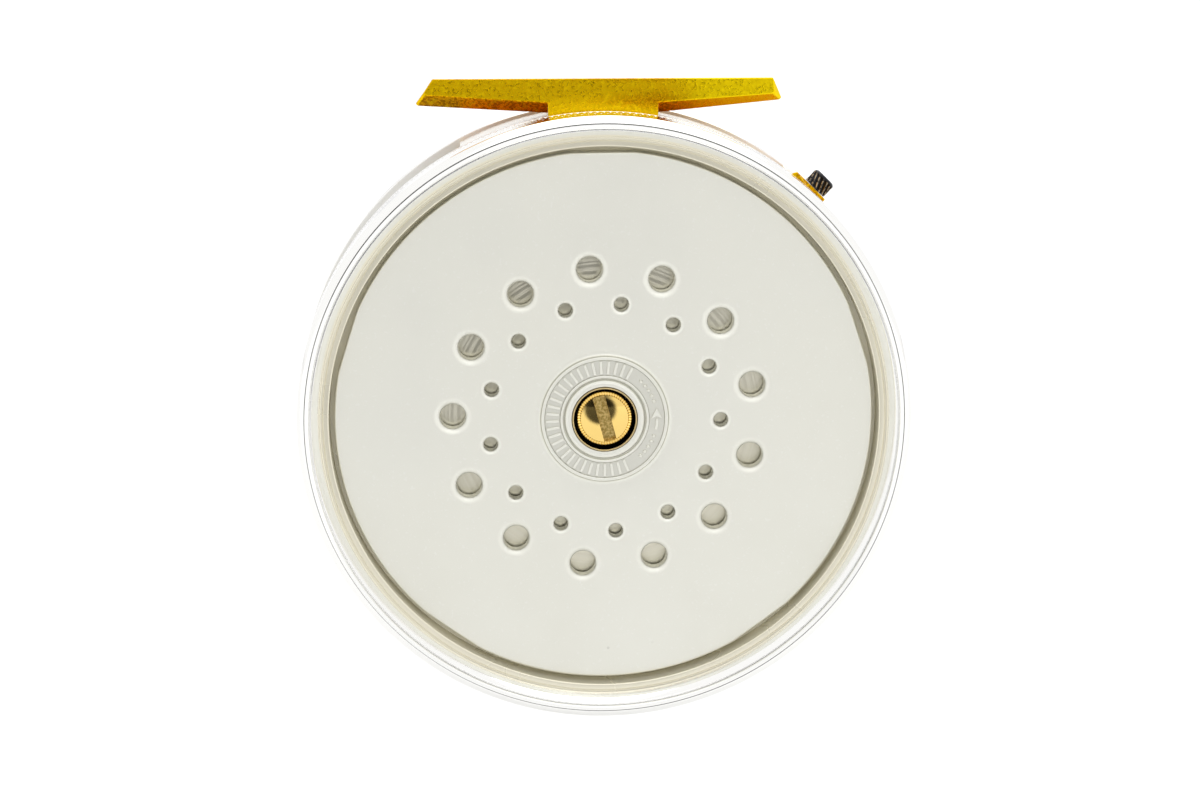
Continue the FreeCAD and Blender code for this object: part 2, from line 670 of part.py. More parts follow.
def spindle():
    body = new_body("spindle")
    revolve(body, "turned", [
        ("0", "dims.arborEnd + 0.02"),
        ("7.5", "dims.arborEnd + 0.02"),
        ("7.5", "dims.arborEnd + 1.4"),
        ("dims.spindleRadius + 0.9", "dims.arborEnd + 1.4"),
        ("dims.spindleRadius + 0.9", "dims.raceFront"),
        ("dims.spindleRadius", "dims.raceFront"),
        ("dims.spindleRadius", "dims.raceRear + dims.raceWidth - 0.1"),
        ("1.5", "dims.raceRear + dims.raceWidth - 0.1"),
        ("1.5", "-2"),
        ("0", "-2")])
    doc.recompute()
    hole = round_cut(body, "screw_hole", "5.6", "0", "0.8", "dims.arborEnd - 1", "dims.arborEnd + 2")
    around(body, "screw_holes", [hole], 4)


def retaining_screw():
    body = new_body("retaining_screw", reel_frame(15.0))
    seat = "dims.raceRear + dims.raceWidth + 0.7"
    revolve(body, "turned", [
        ("0", "-1"),
        ("1.5", "-1"),
        ("1.5", seat),
        ("4.7", seat),
        ("4.7", "dims.plateFace - 0.4"),
        ("4.5", "dims.plateFace - 0.2"),
        ("4.0", "dims.plateFace - 0.2"),
        ("0", "dims.plateFace + 0.2", "20")])
    doc.recompute()
    slot = new_sketch(body, "slot_outline", "XY_Plane", "dims.plateFace + 1")
    outline(slot, [("-1.05", "-6"), ("1.05", "-6"), ("1.05", "6"), ("-1.05", "6")])
    extrude(body, "slot", slot, "2.2", cut=True)
    doc.recompute()


def handle():
    x, y = spot("dims.handleCircle", HANDLE_ANGLE)
    centre = FreeCAD.Placement(FreeCAD.Vector(value(x), value(y), 0), FreeCAD.Rotation())
    frame = reel_frame() * centre
    back = "dims.windingFace - 0.7"
    end = back + " - 0.2 - dims.gripLength"
    pin = new_body("handle_spindle", frame)
    revolve(pin, "turned", [
        ("0", end + " + 0.5"),
        ("2.6", end + " + 0.5"),
        ("2.6", end + " + 2.2"),
        ("1.6", end + " + 2.2"),
        ("1.6", "dims.arborEnd"),
        ("0", "dims.arborEnd")])
    sleeve("handle_washer", "1.6", "5.2", back, "dims.windingFace", frame)
    grip = new_body("handle_grip", frame)
    revolve(grip, "turned", [
        ("1.66", back + " - 0.1"),
        ("4.2", back + " - 0.1"),
        ("4.6", back + " - 0.5"),
        ("4.6", back + " - 1.8"),
        ("3.7", back + " - 3.6"),
        ("5.3", end + " + 3.6", "-34"),
        ("5.3", end + " + 1.2"),
        ("4.3", end, "-1.6"),
        ("2.7", end),
        ("2.7", end + " + 2.3"),
        ("1.66", end + " + 2.3")])


# ---------------------------------------------------------------- check and regulator

def check_gear():
    body = new_body("check_gear", reel_frame(PAWL_ANGLE + 3.0))
    low = "dims.flangeTop"
    high = "dims.flangeTop + dims.gearThick"
    revolve(body, "band", [("28.6", low), ("dims.gearRoot", low), ("dims.gearRoot", high), ("28.6", high)])
    doc.recompute()
    tooth = new_sketch(body, "tooth_outline", "XY_Plane", low)
    outline(tooth, [("dims.gearRoot - 0.5", "-0.75"), ("dims.gearTip", "-0.4"),
                    ("dims.gearTip", "0.4"), ("dims.gearRoot - 0.5", "0.75")])
    pad = extrude(body, "tooth", tooth, "dims.gearThick")
    around(body, "teeth", [pad], "dims.gearTeeth")
    x, y = spot("30.2", -(PAWL_ANGLE + 3.0))
    hole = round_cut(body, "screw_hole", x, y, "0.8", low + " - 1", high + " + 1")
    around(body, "screw_holes", [hole], 6)


def check_gear_screws():
    body = new_body("check_gear_screws", many=True)
    seat = "dims.flangeTop + dims.gearThick"
    shank = round_pad(body, "shank", "30.2", "0", "0.8", "dims.flangeTop - dims.flangeThick", seat)
    head = round_pad(body, "head", "30.2", "0", "1.3", seat, seat + " + 0.7")
    around(body, "six", [shank, head], 6)


def pawl_post():
    body = new_body("pawl_post", reel_frame(PAWL_ANGLE - 90))
    y = "dims.pawlPost"
    round_pad(body, "head", "0", y, "1.8", "dims.checkFloor - 0.35", "dims.checkFloor - 0.05")
    round_pad(body, "shoulder", "0", y, "1.1", "dims.checkFloor - 0.05", "dims.plateUnder")
    round_pad(body, "spigot", "0", y, "0.8", "dims.plateUnder", "dims.plateUnder + 1.5")


def check_pawl():
    body = new_body("check_pawl", reel_frame(PAWL_ANGLE - 90))
    y = "dims.pawlPost"
    sketch = new_sketch(body, "arm_outline", "XY_Plane", "dims.checkFloor")
    outline(sketch, [("-1.9", y + " + 2.25"), ("1.9", y + " + 2.25"), ("1.9", y + " - 1.2"),
                     ("0.35", "dims.gearTip + dims.pawlGap"), ("-0.35",
            "dims.gearTip + dims.pawlGap"), ("-1.9", y + " - 1.2")])
    extrude(body, "arm", sketch, "1.5")
    round_pad(body, "hub", "0", y, "1.9", "dims.checkFloor", "dims.plateUnder - 0.1")
    doc.recompute()
    round_cut(body, "bore", "0", y, "1.15", "4", "dims.plateUnder")


def spring_anchor():
    body = new_body("spring_anchor", reel_frame(PAWL_ANGLE - 90))
    sketch = new_sketch(body, "block_outline", "XY_Plane", "dims.checkFloor")
    outline(sketch, [("-13.4", "38.7"), ("-10.8", "38.7"), ("-10.8", "40.9"), ("-13.4", "40.9")])
    extrude(body, "block", sketch, "dims.plateUnder - dims.checkFloor")
    doc.recompute()
    slit = new_sketch(body, "slit_outline", "XY_Plane", "dims.checkFloor + 1.5")
    outline(slit, [("-13.5", "dims.leafUnder + 0.55"), ("-10.7", "dims.leafUnder + 0.55"),
                   ("-10.7", "dims.leafUnder + 0.55 + dims.leafThick"),
                   ("-13.5", "dims.leafUnder + 0.55 + dims.leafThick")])
    extrude(body, "slit", slit, "2", cut=True)
    doc.recompute()
    round_cut(body, "screw_hole", "-dims.anchorAcross", "dims.anchorUp", "0.6", "4", "dims.plateUnder + 0.1")
    screw = new_body("anchor_screw", reel_frame(PAWL_ANGLE - 90))
    round_pad(screw, "head", "-dims.anchorAcross", "dims.anchorUp", "0.9", "dims.checkFloor - 0.3",
              "dims.checkFloor")
    round_pad(screw, "shank", "-dims.anchorAcross", "dims.anchorUp", "0.6", "dims.checkFloor",
              "dims.plateUnder + 1.5")


def check_spring():
    """A flat leaf: held in the anchor's slit, cranked down to lie over the pawl's heel."""
    body = new_body("check_spring", reel_frame(PAWL_ANGLE - 90))
    low = "dims.leafUnder"
    high = "dims.leafUnder + dims.leafThick"
    sketch = new_sketch(body, "leaf_outline", "XY_Plane", "dims.checkFloor + 0.05")
    outline(sketch, [("-13.3", low + " + 0.55"), ("-10.4", low + " + 0.55"), ("-9.6", low), ("2.6", low),
                     ("2.6", high), ("-9.5", high), ("-10.3", high + " + 0.55"), ("-13.3",
                                                                                  high + " + 0.55")])
    extrude(body, "leaf", sketch, "1.4")


def regulator():
    """A screw in the pad, its round nut, and a cranked plunger that lets the leaf spring up or down."""
    plunger = new_body("check_plunger", reel_frame(REGULATOR_ANGLE - 90))
    side = new_sketch(plunger, "side_outline", "YZ_Plane", "-0.7")
    foot = "dims.strapInner - 0.2"
    outline(side, [
        (foot, "dims.regulatorHeight - 0.9"),
        ("dims.plungerTop", "dims.regulatorHeight - 0.9"),
        ("dims.plungerTop", "dims.plungerFace"),
        ("dims.plungerTip", "dims.plungerFace"),
        ("dims.plungerTip", "dims.plungerFace - 1.4"),
        (foot, "dims.plungerFace - 1.4")])
    extrude(plunger, "crank", side, "1.4")
    doc.recompute()
    frame = radial_frame(REGULATOR_ANGLE, value("dims.regulatorHeight"))
    own = reel_frame(REGULATOR_ANGLE - 90).inverse() * frame
    radial_bore(plunger, "screw_bore", own, "0.55", foot + " - 0.1", "dims.plungerTop + 0.1")
    screw = new_body("regulator_screw", frame)
    revolve(screw, "turned", [
        ("0", foot),
        ("0.5", foot),
        ("0.5", "dims.plungerTop + 1.2"),
        ("0.95", "dims.plungerTop + 1.2"),
        ("0.95", "dims.nutEnd - 0.3"),
        ("0", "dims.nutEnd - 0.3")])
    doc.recompute()
    slot = new_sketch(screw, "slot_outline", "XY_Plane", "dims.nutEnd + 1")
    outline(slot, [("-0.25", "-2"), ("0.25", "-2"), ("0.25", "2"), ("-0.25", "2")])
    extrude(screw, "slot", slot, "1.9", cut=True)
    nut = new_body("regulator_nut", frame)
    revolve(nut, "turned", [
        ("0.95", "dims.padHeight + 0.05"),
        ("dims.nutRadius - 0.15", "dims.padHeight + 0.05"),
        ("dims.nutRadius", "dims.padHeight + 0.2"),
        ("dims.nutRadius", "dims.nutEnd - 0.5"),
        ("dims.nutRadius - 0.5", "dims.nutEnd", "0.55"),
        ("0.95", "dims.nutEnd")])


# ---------------------------------------------------------------- build, check and write

rear_rim_ring()
front_rim_ring()
back_plate()
plate_screws()
pillars()
frame_screws()
foot_saddle()
reel_foot()
foot_screws()
cut_regulator_bore(regulator_block())
bearing_housing()
housing_screws()
ball_race("rear", "dims.raceRear")
ball_race("front", "dims.raceFront")
sleeve("bearing_retainer", "4.7", "dims.raceRadius", "dims.raceFront - 1", "dims.raceFront")
sleeve("bearing_spacer", "dims.spindleRadius", "3.9", "dims.raceFront + dims.raceWidth", "dims.raceRear")
drum()
winding_plate()
screw_ring("drum_screws", "18.0", 6, "dims.windingFace", "dims.windingFace + 0.8",
           "dims.arborEnd + 3.5", "1.5")
screw_ring("spindle_screws", "5.6", 4, "dims.windingFace", "dims.windingFace + 0.8",
           "dims.arborEnd + 1.4", "1.5")
spindle()
sleeve("retaining_washer", "1.5", "4.3", "dims.raceRear + dims.raceWidth",
       "dims.raceRear + dims.raceWidth + 0.7")
retaining_screw()
handle()
check_gear()
check_gear_screws()
pawl_post()
check_pawl()
spring_anchor()
check_spring()
regulator()

doc.recompute()
for item in doc.Objects:
    if "Invalid" in item.State or "Error" in item.State:
        raise RuntimeError("%s failed: %s" % (item.Name, item.State))

os.makedirs("parts", exist_ok=True)
for part in sub_parts:
    if part.Shape.isNull() or not part.Shape.isValid() or not part.Shape.Solids:
        raise RuntimeError(part.Label + " has no valid solid")
    part.Shape.exportStep("parts/%s.step" % part.Label)
    print("%-20s %2d solids %9.1f mm3" % (part.Label, len(part.Shape.Solids), part.Shape.Volume))
print(len(sub_parts), "sub-parts")
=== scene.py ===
import bpy
import bmesh
import json
import math
import random
from mathutils import Matrix, Vector
from mathutils.geometry import delaunay_2d_cdt


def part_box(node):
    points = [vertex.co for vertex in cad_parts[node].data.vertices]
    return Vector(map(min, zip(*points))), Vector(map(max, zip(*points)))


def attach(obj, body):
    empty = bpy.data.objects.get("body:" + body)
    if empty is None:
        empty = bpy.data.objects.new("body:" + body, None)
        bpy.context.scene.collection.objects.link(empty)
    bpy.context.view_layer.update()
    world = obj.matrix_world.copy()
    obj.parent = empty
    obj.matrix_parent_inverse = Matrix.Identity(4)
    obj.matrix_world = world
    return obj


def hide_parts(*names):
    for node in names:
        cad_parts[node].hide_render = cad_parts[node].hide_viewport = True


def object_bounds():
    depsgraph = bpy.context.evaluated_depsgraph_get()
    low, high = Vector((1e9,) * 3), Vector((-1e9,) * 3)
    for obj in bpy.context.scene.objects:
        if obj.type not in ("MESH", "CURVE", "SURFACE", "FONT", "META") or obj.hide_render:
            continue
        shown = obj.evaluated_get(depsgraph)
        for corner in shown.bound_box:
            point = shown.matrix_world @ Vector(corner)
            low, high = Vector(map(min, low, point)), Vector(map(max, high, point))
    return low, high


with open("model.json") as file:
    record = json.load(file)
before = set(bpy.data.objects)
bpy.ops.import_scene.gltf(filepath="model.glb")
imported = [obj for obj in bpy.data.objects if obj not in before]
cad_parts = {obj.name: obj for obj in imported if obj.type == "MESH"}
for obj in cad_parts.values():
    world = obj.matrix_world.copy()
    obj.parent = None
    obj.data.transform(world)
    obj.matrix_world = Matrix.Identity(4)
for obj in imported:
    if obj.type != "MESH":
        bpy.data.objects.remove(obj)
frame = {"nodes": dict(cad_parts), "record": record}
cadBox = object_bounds()
nodes = frame["nodes"]
scene = bpy.context.scene
print("frame loaded:", len(nodes), "nodes")

# Pieces are drawn in the reel's own frame, in mm: the spindle is local z, which points out of
# the back plate, and local y points up at the foot. toRow turns that into the row frame, in metres.
mm = 0.001
rimLow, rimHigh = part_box("rear_rim_ring")
seatHeight = -(rimLow.z + rimHigh.z) / 2 / mm
toRow = (Matrix.Translation((0, 0, -seatHeight * mm)) @ Matrix.Rotation(math.pi / 2, 4, "X")
         @ Matrix.Scale(mm, 4))


def depthRange(node):
    low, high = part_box(node)
    return -high.y / mm, -low.y / mm


def halfWidth(node):
    low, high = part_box(node)
    return (high.x - low.x) / 2 / mm


rimRadius = halfWidth("rear_rim_ring")
rimBottom, rimCrest = depthRange("rear_rim_ring")
frontCrest, frontBottom = depthRange("front_rim_ring")
plateUnder, bossTop = depthRange("back_plate")
plateRadius = halfWidth("back_plate")
bossHeight = 0.5
plateFace = bossTop - bossHeight
drumRadius = halfWidth("drum")
drumEnd, coverTop = depthRange("drum")
coverStep = 3.1
flangeTop = coverTop - coverStep
windingFace, windingInner = depthRange("winding_plate")
windingRadius = halfWidth("winding_plate")
regulatorAngle = 45.4
regulatorDepth = sum(depthRange("regulator_nut")) / 2

# the retaining screw's head, which its brass finish follows too
screwHead = {"radius": 4.7, "border": 3.95, "slot": 2.1, "slotDepth": 1.25, "turn": 15.0, "beads": 60,
             "beadDepth": 0.16, "dome": 0.36, "shank": 1.5}
slotFloor = depthRange("retaining_screw")[1] - screwHead["slotDepth"]


# mesh helpers

def arcPoints(centre, start, end, count):
    # points on the shorter way round from start to end, about centre
    first = math.atan2(start[1] - centre[1], start[0] - centre[0])
    sweep = math.atan2(end[1] - centre[1], end[0] - centre[0]) - first
    sweep = (sweep + math.pi) % (2 * math.pi) - math.pi
    radius = math.hypot(start[0] - centre[0], start[1] - centre[1])
    return [(centre[0] + radius * math.cos(first + sweep * k / count),
             centre[1] + radius * math.sin(first + sweep * k / count)) for k in range(count + 1)]


def softProfile(corners, steps=5, closed=True):
    # corners are (radius, depth, fillet); the fillet rounds the corner
    points = []
    count = len(corners)
    for index, (x, y, fillet) in enumerate(corners):
        if fillet <= 0 or (not closed and index in (0, count - 1)):
            points.append((x, y))
            continue
        here = Vector((x, y))
        before = Vector(corners[index - 1][:2]) - here
        after = Vector(corners[(index + 1) % count][:2]) - here
        half = before.angle(after) / 2
        if half > math.radians(88):
            points.append((x, y))
            continue
        reach = min(fillet / math.tan(half), before.length * 0.48, after.length * 0.48)
        radius = reach * math.tan(half)
        start = here + before.normalized() * reach
        end = here + after.normalized() * reach
        inward = (before.normalized() + after.normalized()).normalized()
        centre = here + inward * (radius / math.sin(half))
        points += arcPoints(centre, start, end, steps)
    return points


def latheMesh(profile, segments=192, closed=True, radiusAt=None):
    # turns a profile of (radius, depth) about local z; radiusAt can shift a point's radius by angle
    mesh = bmesh.new()
    rings = []
    for radius, depth in profile:
        if radius < 1e-6:
            rings.append([mesh.verts.new((0, 0, depth))])
            continue
        ring = []
        for step in range(segments):
            angle = 2 * math.pi * step / segments
            r = radius + (radiusAt(radius, depth, step) if radiusAt else 0)
            ring.append(mesh.verts.new((r * math.cos(angle), r * math.sin(angle), depth)))
        rings.append(ring)
    pairs = list(zip(rings, rings[1:]))
    if closed:
        pairs.append((rings[-1], rings[0]))
    for one, two in pairs:
        for step in range(segments):
            onward = (step + 1) % segments
            if len(one) == 1 and len(two) == 1:
                break
            if len(one) == 1:
                mesh.faces.new((one[0], two[onward], two[step]))
            elif len(two) == 1:
                mesh.faces.new((one[step], one[onward], two[0]))
            else:
                mesh.faces.new((one[step], one[onward], two[onward], two[step]))
    bmesh.ops.recalc_face_normals(mesh, faces=mesh.faces)
    return mesh


def finishPiece(name, mesh, material, body, stands=(), place=None, sharp=35, weighted=True):
    # turns a bmesh in the reel frame into a piece of the model that rides on a body
    data = bpy.data.meshes.new(name)
    mesh.to_mesh(data)
    mesh.free()
    data.transform(toRow @ (place or Matrix.Identity(4)))
    piece = bpy.data.objects.new(name, data)
    scene.collection.objects.link(piece)
    data.materials.append(material)
    for polygon in data.polygons:
        polygon.use_smooth = True
    data.set_sharp_from_angle(angle=math.radians(sharp))
    if weighted:
        fair = piece.modifiers.new("fairNormals", "WEIGHTED_NORMAL")
        fair.keep_sharp = True
    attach(piece, body)
    if stands:
        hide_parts(*stands)
    return piece


def addPart(mesh, extra, place=None):
    # adds a second bmesh to the first one
    data = bpy.data.meshes.new("part")
    extra.to_mesh(data)
    extra.free()
    if place is not None:
        data.transform(place)
    mesh.from_mesh(data)
    bpy.data.meshes.remove(data)


def prism(outline, low, high, bevel=0.0, steps=3):
    # closed block from an outline in local x and y, with rounded edges
    mesh = bmesh.new()
    bottom = [mesh.verts.new((x, y, low)) for x, y in outline]
    top = [mesh.verts.new((x, y, high)) for x, y in outline]
    count = len(outline)
    mesh.faces.new(list(reversed(bottom)))
    mesh.faces.new(top)
    for index in range(count):
        onward = (index + 1) % count
        mesh.faces.new((bottom[index], bottom[onward], top[onward], top[index]))
    bmesh.ops.recalc_face_normals(mesh, faces=mesh.faces)
    if bevel > 0:
        sharp = [edge for edge in mesh.edges if edge.calc_face_angle(0) > math.radians(25)]
        bmesh.ops.bevel(mesh, geom=sharp, offset=bevel, segments=steps, affect="EDGES", profile=0.5,
                        clamp_overlap=True)
    return mesh


def slab(along, across, low, high, bevel=0.0, steps=3):
    # a block whose half length and half width are along local x and y
    corners = [(-along, -across), (along, -across), (along, across), (-along, across)]
    return prism(corners, low, high, bevel, steps)


def polar(radius, angle):
    turn = math.radians(angle)
    return radius * math.cos(turn), radius * math.sin(turn)


def circlePoints(x, y, radius, count, start=0.0):
    return [(x + radius * math.cos(start + 2 * math.pi * k / count),
             y + radius * math.sin(start + 2 * math.pi * k / count)) for k in range(count)]


# shader groups that more than one finish uses

def newGroup(name, inputs, outputs):
    group = bpy.data.node_groups.new(name, "ShaderNodeTree")
    for label, kind, default in inputs:
        socket = group.interface.new_socket(label, in_out="INPUT", socket_type=kind)
        if default is not None:
            socket.default_value = default
    for label, kind in outputs:
        group.interface.new_socket(label, in_out="OUTPUT", socket_type=kind)
    start = group.nodes.new("NodeGroupInput")
    end = group.nodes.new("NodeGroupOutput")
    return group, start, end


def addNode(tree, kind, **settings):
    node = tree.nodes.new(kind)
    for key, setting in settings.items():
        setattr(node, key, setting)
    return node


def mathNode(tree, operation, first, second=None):
    node = addNode(tree, "ShaderNodeMath", operation=operation)
    for index, item in enumerate((first, second)):
        if item is None:
            continue
        if isinstance(item, (int, float)):
            node.inputs[index].default_value = item
        else:
            tree.links.new(item, node.inputs[index])
    return node.outputs[0]


def times(tree, first, second):
    return mathNode(tree, "MULTIPLY", first, second)


def rampNode(tree, value, low, high, lowTo=0.0, highTo=1.0):
    node = addNode(tree, "ShaderNodeMapRange", interpolation_type="SMOOTHSTEP")
    tree.links.new(value, node.inputs["Value"])
    for label, setting in (("From Min", low), ("From Max", high), ("To Min", lowTo), ("To Max", highTo)):
        node.inputs[label].default_value = setting
    return node.outputs["Result"]


def mixColour(tree, factor, first, second, blend="MIX"):
    # colours are (red, green, blue) or sockets
    node = addNode(tree, "ShaderNodeMix", data_type="RGBA", blend_type=blend)
    for socket, item in ((node.inputs[0], factor), (node.inputs[6], first), (node.inputs[7], second)):
        if isinstance(item, tuple):
            socket.default_value = (*item, 1)
        else:
            tree.links.new(item, socket)
    return node.outputs[2]


def objectAxes(tree):
    # the piece's own coordinates, whole and split into X, Y and Z
    where = addNode(tree, "ShaderNodeTexCoord").outputs["Object"]
    apart = addNode(tree, "ShaderNodeSeparateXYZ")
    tree.links.new(where, apart.inputs[0])
    return where, apart.outputs


def noiseNode(tree, where, scale, **settings):
    # scale is a number or a socket, and the settings are inputs of the noise node
    node = addNode(tree, "ShaderNodeTexNoise")
    tree.links.new(where, node.inputs["Vector"])
    if isinstance(scale, (int, float)):
        settings["Scale"] = scale
    else:
        tree.links.new(scale, node.inputs["Scale"])
    for label, setting in settings.items():
        node.inputs[label].default_value = setting
    return node.outputs["Fac"]


def lineNoise(tree, along, scale, detail=2.0):
    # noise that changes in one direction only
    node = addNode(tree, "ShaderNodeTexNoise", noise_dimensions="1D")
    node.inputs["Scale"].default_value = scale
    node.inputs["Detail"].default_value = detail
    tree.links.new(along, node.inputs["W"])
    return node.outputs["Fac"]


def makeTurnedLines():
    # fine lathe rings about an axis along row y: a height for a bump and a mask of brighter rings
    group, start, end = newGroup("turnedLines", [
        ("Centre", "NodeSocketVector", (0, 0, 0)), ("Rings per metre", "NodeSocketFloat", 2500.0),
        ("Wobble", "NodeSocketFloat", 0.4)], [("Height", "NodeSocketFloat"), ("Mask", "NodeSocketFloat")])
    where = addNode(group, "ShaderNodeTexCoord")
    offset = addNode(group, "ShaderNodeVectorMath", operation="SUBTRACT")
    group.links.new(where.outputs["Object"], offset.inputs[0])
    group.links.new(start.outputs["Centre"], offset.inputs[1])
    flat = addNode(group, "ShaderNodeVectorMath", operation="MULTIPLY")
    flat.inputs[1].default_value = (1, 0, 1)
    group.links.new(offset.outputs[0], flat.inputs[0])
    radius = addNode(group, "ShaderNodeVectorMath", operation="LENGTH")
    group.links.new(flat.outputs[0], radius.inputs[0])
    apart = addNode(group, "ShaderNodeSeparateXYZ")
    group.links.new(offset.outputs[0], apart.inputs[0])
    # the share of depth carries the rings on along a straight wall
    along = mathNode(group, "ADD", radius.outputs["Value"], times(group, apart.outputs["Y"], 0.83))
    line = lineNoise(group, times(group, along, start.outputs["Rings per metre"]), 1.0, detail=3.0)
    drift = noiseNode(group, offset.outputs[0], 60.0)
    worn = times(group, mathNode(group, "SUBTRACT", drift, 0.5), start.outputs["Wobble"])
    group.links.new(times(group, line, mathNode(group, "ADD", worn, 1.0)), end.inputs["Height"])
    group.links.new(rampNode(group, line, 0.35, 0.65), end.inputs["Mask"])
    return group


def makeBlastedGrain():
    # bead-blasted metal: fine grain height, a speckle mask and slow drifts of tone
    group, start, end = newGroup("blastedGrain", [
        ("Grain per metre", "NodeSocketFloat", 3500.0), ("Speckle", "NodeSocketFloat", 0.62)],
        [("Height", "NodeSocketFloat"), ("Speckle", "NodeSocketFloat"), ("Drift", "NodeSocketFloat")])
    where = addNode(group, "ShaderNodeTexCoord").outputs["Object"]
    density = start.outputs["Grain per metre"]
    spots = noiseNode(group, where, times(group, density, 0.45), Detail=2.0)
    lit = mathNode(group, "GREATER_THAN", spots, start.outputs["Speckle"])
    group.links.new(noiseNode(group, where, density, Detail=4.0, Roughness=0.62), end.inputs["Height"])
    group.links.new(lit, end.inputs["Speckle"])
    group.links.new(noiseNode(group, where, 38.0, Detail=3.0), end.inputs["Drift"])
    return group


def makeEdgeWearAndCreviceShade():
    # a mask that is 1 on outside edges, broken up by noise, and a painted-shade mask of the inside corners
    group, start, end = newGroup("edgeWearAndCreviceShade", [
        ("From", "NodeSocketFloat", 0.52), ("To", "NodeSocketFloat", 0.6),
        ("Breakup", "NodeSocketFloat", 0.5)], [("Wear", "NodeSocketFloat"), ("CreviceShade", "NodeSocketFloat")])
    pointed = addNode(group, "ShaderNodeNewGeometry").outputs["Pointiness"]
    where = addNode(group, "ShaderNodeTexCoord").outputs["Object"]
    noise = noiseNode(group, where, 900.0, Detail=4.0)
    shift = times(group, mathNode(group, "SUBTRACT", noise, 0.5), start.outputs["Breakup"])
    worn = addNode(group, "ShaderNodeMapRange")
    group.links.new(mathNode(group, "ADD", pointed, times(group, shift, 0.12)), worn.inputs["Value"])
    group.links.new(start.outputs["From"], worn.inputs["From Min"])
    group.links.new(start.outputs["To"], worn.inputs["From Max"])
    group.links.new(worn.outputs["Result"], end.inputs["Wear"])
    group.links.new(rampNode(group, pointed, 0.36, 0.49, 1.0, 0.0), end.inputs["CreviceShade"])
    return group


def makeSpindlePlace():
    # distance from the spindle and height along it, in mm
    group, start, end = newGroup("spindlePlace", [], [("Radius", "NodeSocketFloat"),
                                                      ("Depth", "NodeSocketFloat")])
    where, axes = objectAxes(group)
    across = times(group, axes["X"], 1 / mm)
    up = times(group, mathNode(group, "ADD", axes["Z"], seatHeight * mm), 1 / mm)
    square = mathNode(group, "ADD", times(group, across, across), times(group, up, up))
    group.links.new(mathNode(group, "SQRT", square), end.inputs["Radius"])
    group.links.new(times(group, axes["Y"], -1 / mm), end.inputs["Depth"])
    return group


turnedLines = makeTurnedLines()
spindlePlace = makeSpindlePlace()
blastedGrain = makeBlastedGrain()
edgeWearAndCreviceShade = makeEdgeWearAndCreviceShade()
print("shader groups made")


# finishes

def newFinish(name, finish, metallic=1.0):
    material = bpy.data.materials.new(name)
    material.use_nodes = True
    material.diffuse_color = (*finish["colour"], 1)
    tree = material.node_tree
    shader = tree.nodes["Principled BSDF"]
    shader.inputs["Base Color"].default_value = (*finish["colour"], 1)
    shader.inputs["Metallic"].default_value = metallic
    shader.inputs["Roughness"].default_value = finish["roughness"]
    return material, tree, shader


def placeGroup(tree, group, **inputs):
    node = addNode(tree, "ShaderNodeGroup", node_tree=group)
    for label, setting in inputs.items():
        node.inputs[label.replace("_", " ")].default_value = setting
    return node.outputs


def driftTone(tree, drift, low, high, amount, first, second):
    # a colour that goes part of the way to a second one in slow patches
    return mixColour(tree, rampNode(tree, drift, low, high, 0.0, amount), first, second)


def linkShader(tree, shader, colour, rough, height, bump):
    # bump is (strength, distance in metres)
    tree.links.new(colour, shader.inputs["Base Color"])
    tree.links.new(rough, shader.inputs["Roughness"])
    relief = addNode(tree, "ShaderNodeBump")
    relief.inputs["Strength"].default_value, relief.inputs["Distance"].default_value = bump
    tree.links.new(height, relief.inputs["Height"])
    tree.links.new(relief.outputs["Normal"], shader.inputs["Normal"])


spindleCentre = (0, 0, -seatHeight * mm)

rimFinish = {"colour": (0.93, 0.925, 0.905), "shade": (0.60, 0.57, 0.47), "lip": (0.86, 0.82, 0.68),
             "lipEdge": 47.15, "roughness": 0.10, "lines": 3200, "grain": 1800.0, "satinLip": 0.55,
             "satinDull": 0.85, "satinRough": 0.35, "bump": (0.03, 0.00004)}


def makeRimBright():
    # polished rim with fine turning lines and painted warm shade in the grooves
    f = rimFinish
    material, tree, shader = newFinish("rimBright", f)
    lines = placeGroup(tree, turnedLines, Centre=spindleCentre, Rings_per_metre=f["lines"], Wobble=0.6)
    grain = placeGroup(tree, blastedGrain, Grain_per_metre=f["grain"])
    edgeMasks = placeGroup(tree, edgeWearAndCreviceShade, From=0.52, To=0.62)
    # painted shade: the inside corners are darkened to a warm grey
    creviceShaded = mixColour(tree, edgeMasks["CreviceShade"], f["colour"], f["shade"])
    place = placeGroup(tree, spindlePlace)
    onLip = rampNode(tree, place["Radius"], f["lipEdge"] + 0.2, f["lipEdge"] - 0.1)
    lipped = mixColour(tree, onLip, creviceShaded, f["lip"], "MULTIPLY")
    # the faces inside the cage and the lip round the plate are satin, the rest is buffed
    inside = mathNode(tree, "LESS_THAN", mathNode(tree, "ABSOLUTE", place["Depth"]), rimBottom + 0.06)
    satin = mathNode(tree, "MAXIMUM", inside, times(tree, onLip, f["satinLip"]))
    metal = mathNode(tree, "SUBTRACT", 1.0, times(tree, satin, f["satinDull"]))
    tree.links.new(metal, shader.inputs["Metallic"])
    rough = rampNode(tree, grain["Drift"], 0.3, 0.75, f["roughness"] - 0.04, f["roughness"] + 0.07)
    rough = mathNode(tree, "ADD", rough, times(tree, satin, f["satinRough"]))
    linkShader(tree, shader, lipped, rough, lines["Height"], f["bump"])
    return material


# the centre ring's corners, which get painted shade, are radii in mm
plateFinish = {"colour": (0.84, 0.835, 0.765), "dark": (0.73, 0.72, 0.65), "speckle": (0.95, 0.95, 0.93),
               "speck": (0.12, 0.11, 0.09), "paintedCreviceTone": (0.34, 0.32, 0.25), "paintedRingTone": (0.30, 0.29, 0.24),
               "roughness": 0.52, "grain": 4200.0, "speckFrom": 38, "speckTo": 44, "bump": (0.22, 0.00006),
               "shadeRings": (5.45, 6.72, 7.45, 9.95, 10.62), "ringFloor": (7.45, 10.0), "paintedRingShade": 0.62,
               "ringFloorShade": 0.2}


